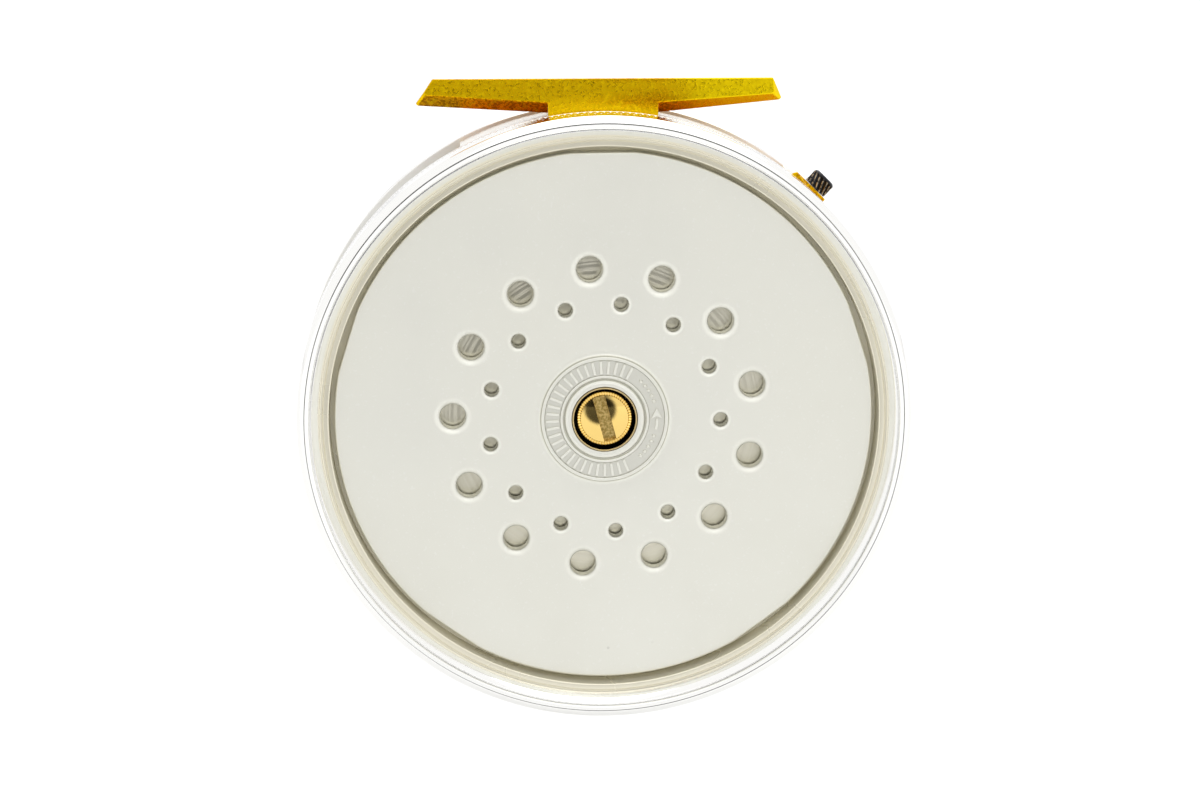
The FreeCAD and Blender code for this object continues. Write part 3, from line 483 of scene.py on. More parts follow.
def plateSpecks(tree, where, height):
    # a few dark specks near the plate's lower edge
    dots = addNode(tree, "ShaderNodeTexVoronoi", feature="F1")
    dots.inputs["Scale"].default_value = 700.0
    tree.links.new(where, dots.inputs["Vector"])
    low = rampNode(tree, height, (-seatHeight - plateFinish["speckFrom"]) * mm,
                   (-seatHeight - plateFinish["speckTo"]) * mm)
    few = mathNode(tree, "GREATER_THAN", noiseNode(tree, where, 260.0), 0.60)
    return times(tree, times(tree, mathNode(tree, "LESS_THAN", dots.outputs["Distance"], 0.17), few), low)


def paintedRingShade(tree):
    # painted shade: the corners of the boss and the floor of its ring are darker
    place = placeGroup(tree, spindlePlace)
    lines = 0.0
    for ring in plateFinish["shadeRings"]:
        away = mathNode(tree, "ABSOLUTE", mathNode(tree, "SUBTRACT", place["Radius"], ring))
        lines = mathNode(tree, "MAXIMUM", rampNode(tree, away, 0.12, 0.03), lines)
    inner, outer = plateFinish["ringFloor"]
    onFloor = times(tree, rampNode(tree, place["Radius"], inner, inner + 0.15),
                    rampNode(tree, place["Radius"], outer, outer - 0.15))
    low = mathNode(tree, "LESS_THAN", place["Depth"], bossTop - 0.2)
    return mathNode(tree, "MAXIMUM", times(tree, lines, plateFinish["paintedRingShade"]),
                    times(tree, times(tree, onFloor, low), plateFinish["ringFloorShade"]))


def makePlateSatin():
    # bead-blasted silver with a fine grain and slow tone drifts, with painted shade in its inside corners
    # and round the boss
    f = plateFinish
    material, tree, shader = newFinish("plateSatin", f)
    grain = placeGroup(tree, blastedGrain, Grain_per_metre=f["grain"], Speckle=0.66)
    edgeMasks = placeGroup(tree, edgeWearAndCreviceShade, From=0.52, To=0.6)
    where, axes = objectAxes(tree)
    colour = driftTone(tree, grain["Drift"], 0.25, 0.8, 0.35, f["colour"], f["dark"])
    # the last of these tones is painted shade in the inside corners
    for mask, share, tone in ((grain["Speckle"], 0.16, "speckle"),
                              (plateSpecks(tree, where, axes["Z"]), 0.75, "speck"),
                              (edgeMasks["CreviceShade"], 0.9, "paintedCreviceTone")):
        colour = mixColour(tree, times(tree, mask, share), colour, f[tone])
    # painted shade round the boss
    colour = mixColour(tree, paintedRingShade(tree), colour, f["paintedRingTone"])
    rough = rampNode(tree, grain["Drift"], 0.2, 0.8, f["roughness"] - 0.05, f["roughness"] + 0.05)
    linkShader(tree, shader, colour, rough, grain["Height"], f["bump"])
    return material


drumFinish = {"colour": (0.80, 0.77, 0.64), "dark": (0.66, 0.62, 0.47), "ring": (0.95, 0.94, 0.90),
              "roughness": 0.34, "lines": 1800, "grain": 3000.0, "bump": (0.25, 0.00005)}


def makeDrumSilver():
    # pale champagne silver, turned, then lightly satin finished
    f = drumFinish
    material, tree, shader = newFinish("drumSilver", f)
    lines = placeGroup(tree, turnedLines, Centre=spindleCentre, Rings_per_metre=f["lines"], Wobble=0.8)
    grain = placeGroup(tree, blastedGrain, Grain_per_metre=f["grain"])
    toned = driftTone(tree, grain["Drift"], 0.3, 0.8, 0.5, f["colour"], f["dark"])
    ringed = mixColour(tree, times(tree, lines["Mask"], 0.10), toned, f["ring"])
    rough = rampNode(tree, lines["Mask"], 0.0, 1.0, f["roughness"] - 0.06, f["roughness"] + 0.05)
    linkShader(tree, shader, ringed, rough, lines["Height"], f["bump"])
    return material


# the From and To places along the foot bound its painted highlight, and footUnder is its depth below the
# seat, in mm
goldFinish = {"colour": (0.80, 0.37, 0.001), "dark": (0.34, 0.13, 0.0), "light": (1.0, 0.70, 0.004),
              "wearAndPaintedHighlight": (1.0, 0.76, 0.004), "grazingHighlight": (1.0, 0.99, 0.95), "roughness": 0.30, "grain": 2100.0,
              "highlightFrom": 8.0, "highlightTo": 18.0, "footUnder": (6.0, 4.5), "grazeRange": (0.745, 0.785),
              "bump": (0.45, 0.00012)}


def makeGoldAnodised():
    # gold anodising over a sandblasted skin: coarse grain, dark pits, brighter worn edges, a painted
    # highlight towards the right of the foot and near white where seen edge-on
    f = goldFinish
    material, tree, shader = newFinish("goldAnodised", f)
    grain = placeGroup(tree, blastedGrain, Grain_per_metre=f["grain"], Speckle=0.60)
    edgeMasks = placeGroup(tree, edgeWearAndCreviceShade, From=0.53, To=0.62)
    where, axes = objectAxes(tree)
    # painted highlight: the foot gets lighter towards its right end
    wearAndPaintedHighlight = rampNode(tree, axes["X"], f["highlightFrom"] * mm, f["highlightTo"] * mm, 0.0, 0.85)
    onFoot = rampNode(tree, axes["Z"], *(-under * mm for under in f["footUnder"]))
    colour = driftTone(tree, grain["Height"], 0.54, 0.45, 0.85, f["colour"], f["dark"])
    colour = driftTone(tree, grain["Drift"], 0.46, 0.74, 0.25, colour, f["dark"])
    colour = mixColour(tree, times(tree, grain["Speckle"], 0.35), colour, f["light"])
    colour = mixColour(tree, times(tree, wearAndPaintedHighlight, onFoot), colour, f["wearAndPaintedHighlight"])
    colour = mixColour(tree, times(tree, edgeMasks["Wear"], 0.6), colour, f["light"])
    # painted highlight: the gold turns near white where the surface is seen edge-on
    graze = addNode(tree, "ShaderNodeLayerWeight")
    graze.inputs["Blend"].default_value = 0.5
    colour = mixColour(tree, rampNode(tree, graze.outputs["Facing"], *f["grazeRange"]), colour, f["grazingHighlight"])
    rough = rampNode(tree, grain["Height"], 0.3, 0.7, f["roughness"] + 0.12, f["roughness"] - 0.06)
    linkShader(tree, shader, colour, rough, grain["Height"], f["bump"])
    return material


# cutBelow is the depth under which the slot's floor is left as the cutter made it, dull and grainy
brassFinishes = {
    "screwBrass": {"colour": (0.92, 0.66, 0.22), "dark": (0.50, 0.32, 0.08), "roughness": 0.04,
                   "lines": 2600.0,
                   "bump": (0.03, 0.00004), "cutBelow": slotFloor + 0.3, "cutDark": (0.34, 0.23, 0.06),
                   "cutLight": (0.70, 0.52, 0.20)},
    "bushBrass": {"colour": (0.74, 0.58, 0.30), "dark": (0.40, 0.29, 0.12), "roughness": 0.26,
                  "lines": 2200.0,
                  "bump": (0.2, 0.00004)}}
gapShade = {"inner": 4.66, "outer": 5.2, "black": (0.012, 0.010, 0.006)}


def between(tree, value, low, high):
    # 1 where the value lies between two limits
    return times(tree, mathNode(tree, "GREATER_THAN", value, low), mathNode(tree, "LESS_THAN", value, high))


def makeBrass(name, f):
    # turned brass: lathe lines and painted shade in the grooves
    material, tree, shader = newFinish(name, f)
    turned = placeGroup(tree, turnedLines, Centre=spindleCentre, Rings_per_metre=f["lines"], Wobble=0.7)
    grain = placeGroup(tree, blastedGrain, Grain_per_metre=2400.0)
    edgeMasks = placeGroup(tree, edgeWearAndCreviceShade, From=0.53, To=0.62)
    place = placeGroup(tree, spindlePlace)
    colour = driftTone(tree, grain["Drift"], 0.35, 0.75, 0.35, f["colour"], f["dark"])
    # painted shade: the inside corners are darkened
    colour = mixColour(tree, times(tree, edgeMasks["CreviceShade"], 0.8), colour, f["dark"])
    rough = rampNode(tree, grain["Drift"], 0.3, 0.8, f["roughness"], f["roughness"] + 0.12)
    if "cutBelow" in f:
        inSlot = times(tree, mathNode(tree, "LESS_THAN", place["Depth"], f["cutBelow"]),
                       mathNode(tree, "LESS_THAN", place["Radius"], screwHead["border"] - 0.02))
        cut = mixColour(tree, rampNode(tree, grain["Height"], 0.35, 0.65), f["cutDark"], f["cutLight"])
        colour = mixColour(tree, inSlot, colour, cut)
        rough = mathNode(tree, "ADD", rough, times(tree, inSlot, 0.35))
    # painted shade: the walls of the gap round the retaining screw are painted black
    inGap = times(tree, between(tree, place["Radius"], gapShade["inner"], gapShade["outer"]),
                  between(tree, place["Depth"], 0.0, plateFace + 0.3))
    colour = mixColour(tree, inGap, colour, gapShade["black"])
    linkShader(tree, shader, colour, rough, turned["Height"], f["bump"])
    return material


steelFinishes = {
    "plainSteel": {"colour": (0.60, 0.60, 0.60), "roughness": 0.30},
    "raceSteel": {"colour": (0.74, 0.75, 0.77), "roughness": 0.12},
    "springSteel": {"colour": (0.20, 0.25, 0.36), "roughness": 0.28}}
steelSkin = {"grain": 3200.0, "darker": 0.55, "edge": (0.85, 0.85, 0.84), "bump": (0.12, 0.00005)}


def makeSteel(name, f):
    # plain steel with a fine grain and a thin film of oil tone
    material, tree, shader = newFinish(name, f)
    grain = placeGroup(tree, blastedGrain, Grain_per_metre=steelSkin["grain"])
    edgeMasks = placeGroup(tree, edgeWearAndCreviceShade, From=0.53, To=0.62)
    dark = tuple(channel * steelSkin["darker"] for channel in f["colour"])
    toned = driftTone(tree, grain["Drift"], 0.3, 0.8, 0.45, f["colour"], dark)
    edged = mixColour(tree, times(tree, edgeMasks["Wear"], 0.5), toned, steelSkin["edge"])
    rough = rampNode(tree, grain["Height"], 0.3, 0.7, f["roughness"] - 0.05, f["roughness"] + 0.1)
    linkShader(tree, shader, edged, rough, grain["Height"], steelSkin["bump"])
    return material


nutFinish = {"colour": (0.022, 0.022, 0.025), "bare": (0.62, 0.50, 0.33), "roughness": 0.36, "grain": 2600.0,
             "ridgeFrom": 0.72, "ridgeTo": 0.98, "bump": (0.2, 0.00003)}


def makeBlackNut():
    # blackened brass: the ridges are rubbed through to warm metal
    f = nutFinish
    material, tree, shader = newFinish("blackNut", f)
    ridge = addNode(tree, "ShaderNodeAttribute", attribute_name="ridge")
    where, axes = objectAxes(tree)
    noise = noiseNode(tree, where, f["grain"], Detail=3.0)
    wearAndPaintedHighlight = times(tree, rampNode(tree, ridge.outputs["Fac"], f["ridgeFrom"], f["ridgeTo"]),
                   rampNode(tree, noise, 0.38, 0.62))
    colour = mixColour(tree, times(tree, wearAndPaintedHighlight, 0.7), f["colour"], f["bare"])
    rough = rampNode(tree, noise, 0.3, 0.7, f["roughness"] - 0.08, f["roughness"] + 0.10)
    linkShader(tree, shader, colour, rough, noise, f["bump"])
    return material


eboniteFinish = {"colour": (0.012, 0.011, 0.010), "brown": (0.03, 0.022, 0.016), "roughness": 0.2,
                 "coat": 0.5,
                 "coatRoughness": 0.08, "grain": 2200.0, "rings": 6000.0, "bump": (0.12, 0.00003)}


def makeEbonite():
    # turned black ebonite: deep gloss, browner patches and faint turning rings
    f = eboniteFinish
    material, tree, shader = newFinish("handleEbonite", f, metallic=0.0)
    shader.inputs["Coat Roughness"].default_value = f["coatRoughness"]
    shader.inputs["Coat Weight"].default_value = f["coat"]
    grain = placeGroup(tree, blastedGrain, Grain_per_metre=f["grain"])
    where, axes = objectAxes(tree)
    rings = lineNoise(tree, axes["Y"], f["rings"])
    colour = driftTone(tree, grain["Drift"], 0.4, 0.8, 1.0, f["colour"], f["brown"])
    rough = rampNode(tree, grain["Drift"], 0.3, 0.8, f["roughness"] - 0.04, f["roughness"] + 0.14)
    linkShader(tree, shader, colour, rough, rings, f["bump"])
    return material


rimBright = makeRimBright()
plateSatin = makePlateSatin()
drumSilver = makeDrumSilver()
goldAnodised = makeGoldAnodised()
screwBrass, bushBrass = (makeBrass(name, values) for name, values in brassFinishes.items())
plainSteel, raceSteel, springSteel = (makeSteel(name, values) for name, values in steelFinishes.items())
blackNut = makeBlackNut()
handleEbonite = makeEbonite()
print("finishes made")


# cage

rimShape = {"bore": 45.6, "ledge": 43.5, "lipWidth": 1.45, "lipTop": 11.62, "grooveAt": 48.7,
            "teeth": 300, "toothDepth": 0.08, "milledLow": 7.0, "milledHigh": 10.2}


def rearRimProfile():
    s = rimShape
    inner = s["bore"]
    return softProfile([
        (s["ledge"], rimBottom, 0.15),
        (s["ledge"], plateUnder, 0.15),
        (inner, plateUnder, 0.1),
        (inner, s["lipTop"], 0.22),
        (inner + 0.9, s["lipTop"] + 0.02, 0.05),
        (inner + 1.0, s["lipTop"] - 0.13, 0.04),
        (inner + 1.1, s["lipTop"] + 0.02, 0.05),
        (inner + s["lipWidth"], s["lipTop"] + 0.05, 0.25),
        (inner + 2.05, s["lipTop"] + 1.0, 0.5),
        (s["grooveAt"] - 0.25, rimCrest - 0.42, 0.3),
        (s["grooveAt"] - 0.05, rimCrest - 0.62, 0.04),
        (s["grooveAt"] + 0.15, rimCrest - 0.22, 0.12),
        (49.55, rimCrest, 0.6),
        (50.35, rimCrest - 0.2, 0.7),
        (rimRadius, rimCrest - 1.0, 0.8),
        (rimRadius, s["milledHigh"], 0.12),
        (rimRadius - 0.18, s["milledHigh"] - 0.1, 0.05),
        (rimRadius - 0.02, s["milledHigh"] - 0.28, 0.0),
        (rimRadius - 0.02, s["milledLow"] + 0.28, 0.0),
        (rimRadius - 0.18, s["milledLow"] + 0.1, 0.05),
        (rimRadius, s["milledLow"], 0.12),
        (rimRadius, rimBottom, 0.25)])


def milledShift(radius, depth, step):
    # every fourth step is the bottom of a coin-edge groove
    s = rimShape
    inBand = s["milledLow"] + 0.2 < depth < s["milledHigh"] - 0.2 and radius > rimRadius - 0.1
    return -s["toothDepth"] if inBand and step % 4 == 0 else 0.0


def rearRim():
    mesh = latheMesh(rearRimProfile(), segments=rimShape["teeth"] * 4, radiusAt=milledShift)
    finishPiece("bright_rear_rim", mesh, rimBright, "frame", ["rear_rim_ring"], sharp=40)


frontRimShape = {"bore": 46.15, "seatRadius": 1.82, "seatDepth": 1.8, "seatReach": 2}


def frontRim():
    s = frontRimShape
    profile = softProfile([
        (s["bore"], frontBottom, 0.15),
        (s["bore"], frontCrest + 0.35, 0.3),
        (s["bore"] + 0.5, frontCrest, 0.3),
        (rimRadius - 1.5, frontCrest, 0.9),
        (rimRadius, frontCrest + 1.3, 0.9),
        (rimRadius, frontBottom, 0.25)])
    mesh = latheMesh(profile, segments=256)
    ring = finishPiece("bright_front_rim", mesh, rimBright, "frame", ["front_rim_ring"],
                       sharp=40, weighted=False)
    cutter = bmesh.new()
    for angle in cageAngles:
        x, y = polar(cageCircle, angle)
        part = bmesh.new()
        bmesh.ops.create_cone(part, cap_ends=True, segments=40, radius1=s["seatRadius"],
                              radius2=s["seatRadius"], depth=2 * s["seatReach"])
        addPart(cutter, part, Matrix.Translation((x, y, frontCrest + s["seatDepth"] - s["seatReach"])))
    cutPiece(ring, cutter)


def cutPiece(piece, cutter):
    # bores holes through a finished piece and keeps its edges fair
    data = bpy.data.meshes.new("cutter")
    cutter.to_mesh(data)
    cutter.free()
    data.transform(toRow)
    tool = bpy.data.objects.new("cutter", data)
    scene.collection.objects.link(tool)
    cut = piece.modifiers.new("bores", "BOOLEAN")
    cut.operation = "DIFFERENCE"
    cut.solver = "EXACT"
    cut.object = tool
    bpy.context.view_layer.update()
    bpy.context.view_layer.objects.active = piece
    with bpy.context.temp_override(object=piece, active_object=piece, selected_objects=[piece]):
        bpy.ops.object.modifier_apply(modifier="bores")
    bpy.data.objects.remove(tool)
    piece.data.set_sharp_from_angle(angle=math.radians(35))
    fair = piece.modifiers.new("fairNormals", "WEIGHTED_NORMAL")
    fair.keep_sharp = True


cageCircle = 48.3
firstPillar, pillarStep = 173.8, 55.8
pillarAngles = [firstPillar + pillarStep * k for k in range(4)]
strapAngles = [40.5, 57.5, 71.0, 109.0]
cageAngles = pillarAngles + strapAngles

plateShape = {"largeCount": 13, "largeRadius": 2.1, "largeCircle": 25.2, "firstAngle": 95.6,
              "smallRadius": 1.175, "smallCircle": 19.4, "lipLarge": 1.25, "lipSmall": 0.75,
              "rim": 0.32, "scallopFirst": 18.5, "scallopDepth": 0.3, "scallopWidth": 13.4,
              "scallopStep": 72,
              "bossEdge": 12.6, "chamfer": 0.15, "edgeCount": 360, "bossCount": 128}


def plateEdge(inset):
    # the disc's outer edge, with five shallow notches
    s = plateShape
    points = []
    for step in range(s["edgeCount"]):
        angle = 360 * step / s["edgeCount"]
        away = (angle - s["scallopFirst"] + s["scallopStep"] / 2) % s["scallopStep"] - s["scallopStep"] / 2
        dip = 0.0
        if abs(away) < s["scallopWidth"] / 2:
            dip = math.cos(math.pi * away / s["scallopWidth"]) ** 0.7
        points.append(polar(plateRadius - s["scallopDepth"] * dip - inset, angle))
    return points


def outsideEdge(centre):
    # true outside the disc's notched edge, where the triangulation fills the convex hull
    count = plateShape["edgeCount"]
    step = round(math.degrees(math.atan2(centre.y, centre.x)) % 360 / 360 * count) % count
    return centre.length > Vector(plateEdge(plateShape["rim"])[step]).length + 0.02


def softLip(width, height, count):
    # (inset, drop below the face) of a quarter round from the flat face to a wall
    turns = [math.pi / 2 * step / count for step in range(count + 1)]
    return [(width * (1 - math.sin(turn)), height * (1 - math.cos(turn))) for turn in turns]


def plateHoles():
    # (x, y, radius, lip, points round it) of every ventilation hole
    s = plateShape
    step = 360 / s["largeCount"]
    holes = []
    for k in range(s["largeCount"]):
        large = polar(s["largeCircle"], s["firstAngle"] + step * k)
        small = polar(s["smallCircle"], s["firstAngle"] + step * (k + 0.5))
        holes.append((*large, s["largeRadius"], s["lipLarge"], 48))
        holes.append((*small, s["smallRadius"], s["lipSmall"], 36))
    return holes


def plateFlat(mesh, holes, depth, facing):
    # one flat side of the disc between its edge, its boss and its holes
    s = plateShape
    openings = [(x, y, radius + (lip if facing > 0 else s["chamfer"]), count) for x, y, radius, lip,
                count in holes]
    loops = [plateEdge(s["rim"]), plateEdge(s["rim"] + 0.35),
             circlePoints(0, 0, s["bossEdge"], s["bossCount"])]
    loops += [circlePoints(*opening) for opening in openings]
    points, edges = [], []
    for ring in loops:
        base = len(points)
        points += [Vector(point) for point in ring]
        edges += [(base + i, base + (i + 1) % len(ring)) for i in range(len(ring))]
    verts, _, faces, _, _, _ = delaunay_2d_cdt(points, edges, [], 0, 1e-7)
    made = [mesh.verts.new((v.x, v.y, depth)) for v in verts]
    for face in faces:
        centre = sum((verts[i] for i in face), Vector((0, 0))) / len(face)
        if centre.length < s["bossEdge"] * math.cos(math.pi / s["bossCount"]):
            continue
        if any((centre - Vector((x, y))).length < reach * 0.995 for x, y, reach, _ in openings):
            continue
        if centre.length > plateRadius - 0.65 and outsideEdge(centre):
            continue
        mesh.faces.new([made[i] for i in (face if facing > 0 else reversed(face))])


def backPlate():
    s = plateShape
    holes = plateHoles()
    mesh = bmesh.new()
    plateFlat(mesh, holes, plateFace, 1)
    plateFlat(mesh, holes, plateUnder, -1)
    for x, y, radius, lip, count in holes:
        profile = [(radius + inset, plateFace - drop) for inset, drop in softLip(lip, lip * 0.62, 7)]
        profile += [(radius, plateUnder + s["chamfer"]), (radius + s["chamfer"], plateUnder)]
        stackRings(mesh, [circlePoints(x, y, r, count) for r, _ in profile], [z for _, z in profile],
                   flip=False)
    edge = [(inset, plateFace - drop) for inset, drop in softLip(s["rim"], s["rim"], 5)]
    edge += [(0.0, plateUnder + 0.2), (0.2, plateUnder), (s["rim"], plateUnder)]
    stackRings(mesh, [plateEdge(inset) for inset, _ in edge], [z for _, z in edge], flip=True)
    boss = softProfile([
        (s["bossEdge"], plateFace, 0), (11.3, plateFace - 0.16, 1.2), (10.8, plateFace - 0.1, 0.3),
        (10.5, bossTop, 0.2), (10.05, bossTop, 0.15), (9.95, bossTop - 0.28, 0.12),
        (7.45, bossTop - 0.28, 0.12),
        (7.35, bossTop - 0.05, 0.15), (7.0, bossTop - 0.05, 0.15), (6.85, plateFace - 0.05, 0.1),
        (6.65, plateFace - 0.05, 0.1), (6.5, bossTop - 0.1, 0.15), (6.2, bossTop - 0.05, 0.1),
        (6.12, bossTop, 0.1), (5.5, bossTop, 0.12), (5.42, plateFace, 0.05), (5.42, plateUnder, 0.0),
        (s["bossEdge"], plateUnder, 0)], steps=4, closed=False)
    stackRings(mesh, [circlePoints(0, 0, r, s["bossCount"]) for r, _ in boss], [z for _, z in boss],
               flip=False)
    bmesh.ops.remove_doubles(mesh, verts=mesh.verts, dist=1e-4)
    bmesh.ops.recalc_face_normals(mesh, faces=mesh.faces)
    addBossMarks(mesh)
    finishPiece("satin_back_plate", mesh, plateSatin, "frame", ["back_plate"], sharp=42)


def stackRings(mesh, rings, depths, flip):
    # joins rings of equal count into a tube
    made = [[mesh.verts.new((x, y, z)) for x, y in ring] for ring, z in zip(rings, depths)]
    for one, two in zip(made, made[1:]):
        count = len(one)
        for step in range(count):
            onward = (step + 1) % count
            quad = (one[step], one[onward], two[onward], two[step])
            mesh.faces.new(quad if flip else tuple(reversed(quad)))


# barFrom, barTo and barStep are angles in degrees; the rest is in mm
bossMarks = {"radius": 8.7, "length": 2.1, "barWidth": 0.42, "floor": 0.30, "rise": 0.28, "dotRadius": 0.34,
             "barFrom": 62, "barTo": 298, "barStep": 8, "dots": 5, "dotFrom": 20, "dotStep": 6.6}


def addBossMarks(mesh):
    # plain raised bars round the ring, with dots and an arrow on the right
    m = bossMarks
    base = bossTop - m["floor"]
    top = base + m["rise"]
    for angle in range(m["barFrom"], m["barTo"], m["barStep"]):
        bar = slab(m["length"] / 2, m["barWidth"] / 2, base, top, bevel=0.08, steps=2)
        turn = Matrix.Rotation(math.radians(angle), 4, "Z")
        addPart(mesh, bar, Matrix.Translation((*polar(m["radius"], angle), 0)) @ turn)
    for side in (-1, 1):
        for k in range(m["dots"]):
            spot = polar(m["radius"], side * (m["dotFrom"] + m["dotStep"] * k))
            profile = [(0, top), (m["dotRadius"] * 0.6, top - 0.04), (m["dotRadius"], base)]
            addPart(mesh, latheMesh(profile, 14, closed=False), Matrix.Translation((*spot, 0)))
    tip = prism([(0.95, -0.9), (0.0, 0.9), (-0.95, -0.9), (0.0, -0.45)], base, top, bevel=0.08, steps=2)
    addPart(mesh, tip, Matrix.Translation((*polar(m["radius"], 6.0), 0)))
    shaft = [polar(m["radius"] - 0.2, angle) for angle in range(-12, 1, 2)]
    shaft += [polar(m["radius"] + 0.2, angle) for angle in range(0, -13, -2)]
    addPart(mesh, prism(shaft, base, top, bevel=0.06, steps=2))


pillarShape = {"radius": 2.0, "collar": 2.4, "waist": 0.18}


def pillars():
    s = pillarShape
    profile = softProfile([
        (1.0, frontBottom, 0), (s["collar"], frontBottom, 0.15), (s["collar"], frontBottom + 1.0, 0.3),
        (s["radius"], frontBottom + 1.35, 0.3), (s["radius"] - s["waist"], 0, 3.0),
        (s["radius"], rimBottom - 1.35, 0.3), (s["collar"], rimBottom - 1.0, 0.3),
        (s["collar"], rimBottom, 0.15),
        (1.0, rimBottom, 0)], steps=6)
    for number, angle in enumerate(pillarAngles, 1):
        finishPiece("turned_pillar_%d" % number, latheMesh(profile, 64), drumSilver, "frame",
                    ["pillar_%d" % number], place=Matrix.Translation((*polar(cageCircle, angle), 0)))


screwShape = {"slotWidth": 0.5, "slotDepth": 0.45, "shank": 0.8}


def smallScrews(name, node, spots, headRadius, headOut, headIn, shankEnd, body, turnSeed):
    # a set of slotted screws; headOut is the visible end of the head
    s = screwShape
    turns = random.Random(turnSeed)
    mesh = bmesh.new()
    cutter = bmesh.new()
    outward = 1 if headOut > headIn else -1
    profile = softProfile([
        (0, headOut, 0), (headRadius - 0.2, headOut, 0.12), (headRadius, headOut - outward * 0.15, 0.1),
        (headRadius, headIn, 0.03), (s["shank"], headIn, 0.0), (s["shank"], shankEnd, 0.1),
        (0, shankEnd, 0)],
        steps=3, closed=False)
    slotLow, slotHigh = sorted((headOut - outward * s["slotDepth"], headOut + outward))
    for x, y in spots:
        turn = Matrix.Translation((x, y, 0)) @ Matrix.Rotation(turns.uniform(0, math.pi), 4, "Z")
        addPart(mesh, latheMesh(profile, 40, closed=False), turn)
        addPart(cutter, slab(headRadius + 0.3, s["slotWidth"] / 2, slotLow, slotHigh), turn)
    cutPiece(finishPiece(name, mesh, plainSteel, body, [node], weighted=False), cutter)


def frameScrews():
    spots = [polar(cageCircle, angle) for angle in cageAngles]
    smallScrews("slotted_frame_screws", "frame_screws", spots, 1.75, frontCrest + 0.5, frontCrest + 1.8,
                rimBottom + 2.3, "frame", 3)


rearRim()
frontRim()
backPlate()
pillars()
frameScrews()
print("cage made")


# foot, saddle and regulator block

# tips are (side, reach of the tip, its depth inside the facet, its depth on the face)
footShape = {"halfTop": 27.9, "halfDepth": 5.4, "pedestalHalf": 9.05, "pedestalLow": 49.4,
             "tips": ((-1, 30.7, 4.5, 2.6), (1, 29.5, 3.8, 2.6)), "tipInset": 1.45, "facetIn": 1.9,
             "rootFace": 3.95, "rootAll": 5.8, "cornerCut": 1.3, "tipCut": 0.35, "round": 0.16}


def footOutline(inner):
    # the foot from the front: its flat face, or its full outline inside the facets
    s = footShape
    points = []
    for side, tip, down, face in s["tips"]:
        low = down if inner else face
        reach = tip if inner else tip - s["cornerCut"]
        wing = [(side * s["halfTop"], seatHeight), (side * reach, seatHeight - low + s["tipCut"]),
                (side * (reach - s["tipCut"]), seatHeight - low),
                (side * s["pedestalHalf"], seatHeight - (s["rootAll"] if inner else s["rootFace"])),
                (side * s["pedestalHalf"], s["pedestalLow"])]
        points += wing if side < 0 else list(reversed(wing))
    return points


def reelFoot():
    # wings with a bevelled facet under each long edge, drawn as four rings from the front face to the back
    s = footShape
    insets = [0.0, s["tipInset"], s["tipInset"], s["facetIn"], 0.0]
    insets += list(reversed(insets))
    mesh = bmesh.new()
    rings = []
    for facing, inner in ((1, False), (1, True), (-1, True), (-1, False)):
        rings.append([mesh.verts.new((x, y, facing * (s["halfDepth"] - (inset if inner else 0.0))))
                      for (x, y), inset in zip(footOutline(inner), insets)])
    mesh.faces.new(rings[0])
    mesh.faces.new(list(reversed(rings[3])))
    for one, two in zip(rings, rings[1:]):
        for step in range(len(insets)):
            onward = (step + 1) % len(insets)
            corners = [one[step], one[onward], two[onward], two[step]]
            spots = {tuple(round(value, 5) for value in corner.co) for corner in corners}
            if len(spots) > 2:
                mesh.faces.new(corners)
    bmesh.ops.remove_doubles(mesh, verts=mesh.verts, dist=1e-4)
    bmesh.ops.dissolve_degenerate(mesh, edges=mesh.edges, dist=1e-4)
    bmesh.ops.recalc_face_normals(mesh, faces=mesh.faces)
    sharp = [edge for edge in mesh.edges if edge.is_manifold and edge.calc_face_angle(0) > math.radians(14)]
    bmesh.ops.bevel(mesh, geom=sharp, offset=s["round"], segments=3, affect="EDGES", profile=0.5,
                    clamp_overlap=True)
    finishPiece("gold_reel_foot", mesh, goldAnodised, "frame", ["reel_foot"], sharp=40)


def ringSector(inner, outer, start, end, low, high, bevel, steps=40):
    outline = [polar(outer, start + (end - start) * k / steps) for k in range(steps + 1)]
    outline += [polar(inner, end + (start - end) * k / steps) for k in range(steps + 1)]
    return prism(outline, low, high, bevel=bevel, steps=3)


# from, split and to are angles in degrees; the pad stands on the strap at the regulator's angle
strapShape = {"inner": 46.4, "outer": 50.2, "from": 37.0, "split": 63.0, "to": 118.0, "padLeft": 6.0,
              "padRight": 2.2, "padFoot": 47.5, "padTop": 51.3, "rampRight": 0.3, "rampTop": 50.4}


def saddle():
    s = strapShape
    outline = []
    padY = footShape["pedestalLow"]
    steps = 72
    for k in range(steps + 1):
        x, y = polar(s["outer"], s["split"] + (s["to"] - s["split"]) * k / steps)
        if abs(x) < footShape["pedestalHalf"] and y > padY:
            y = padY
        outline.append((x, y))
    outline += [polar(s["inner"], s["to"] + (s["split"] - s["to"]) * k / steps) for k in range(steps + 1)]
    mesh = prism(outline, frontBottom, rimBottom, bevel=0.2, steps=2)
    finishPiece("gold_foot_saddle", mesh, goldAnodised, "frame", ["foot_saddle"], sharp=30)


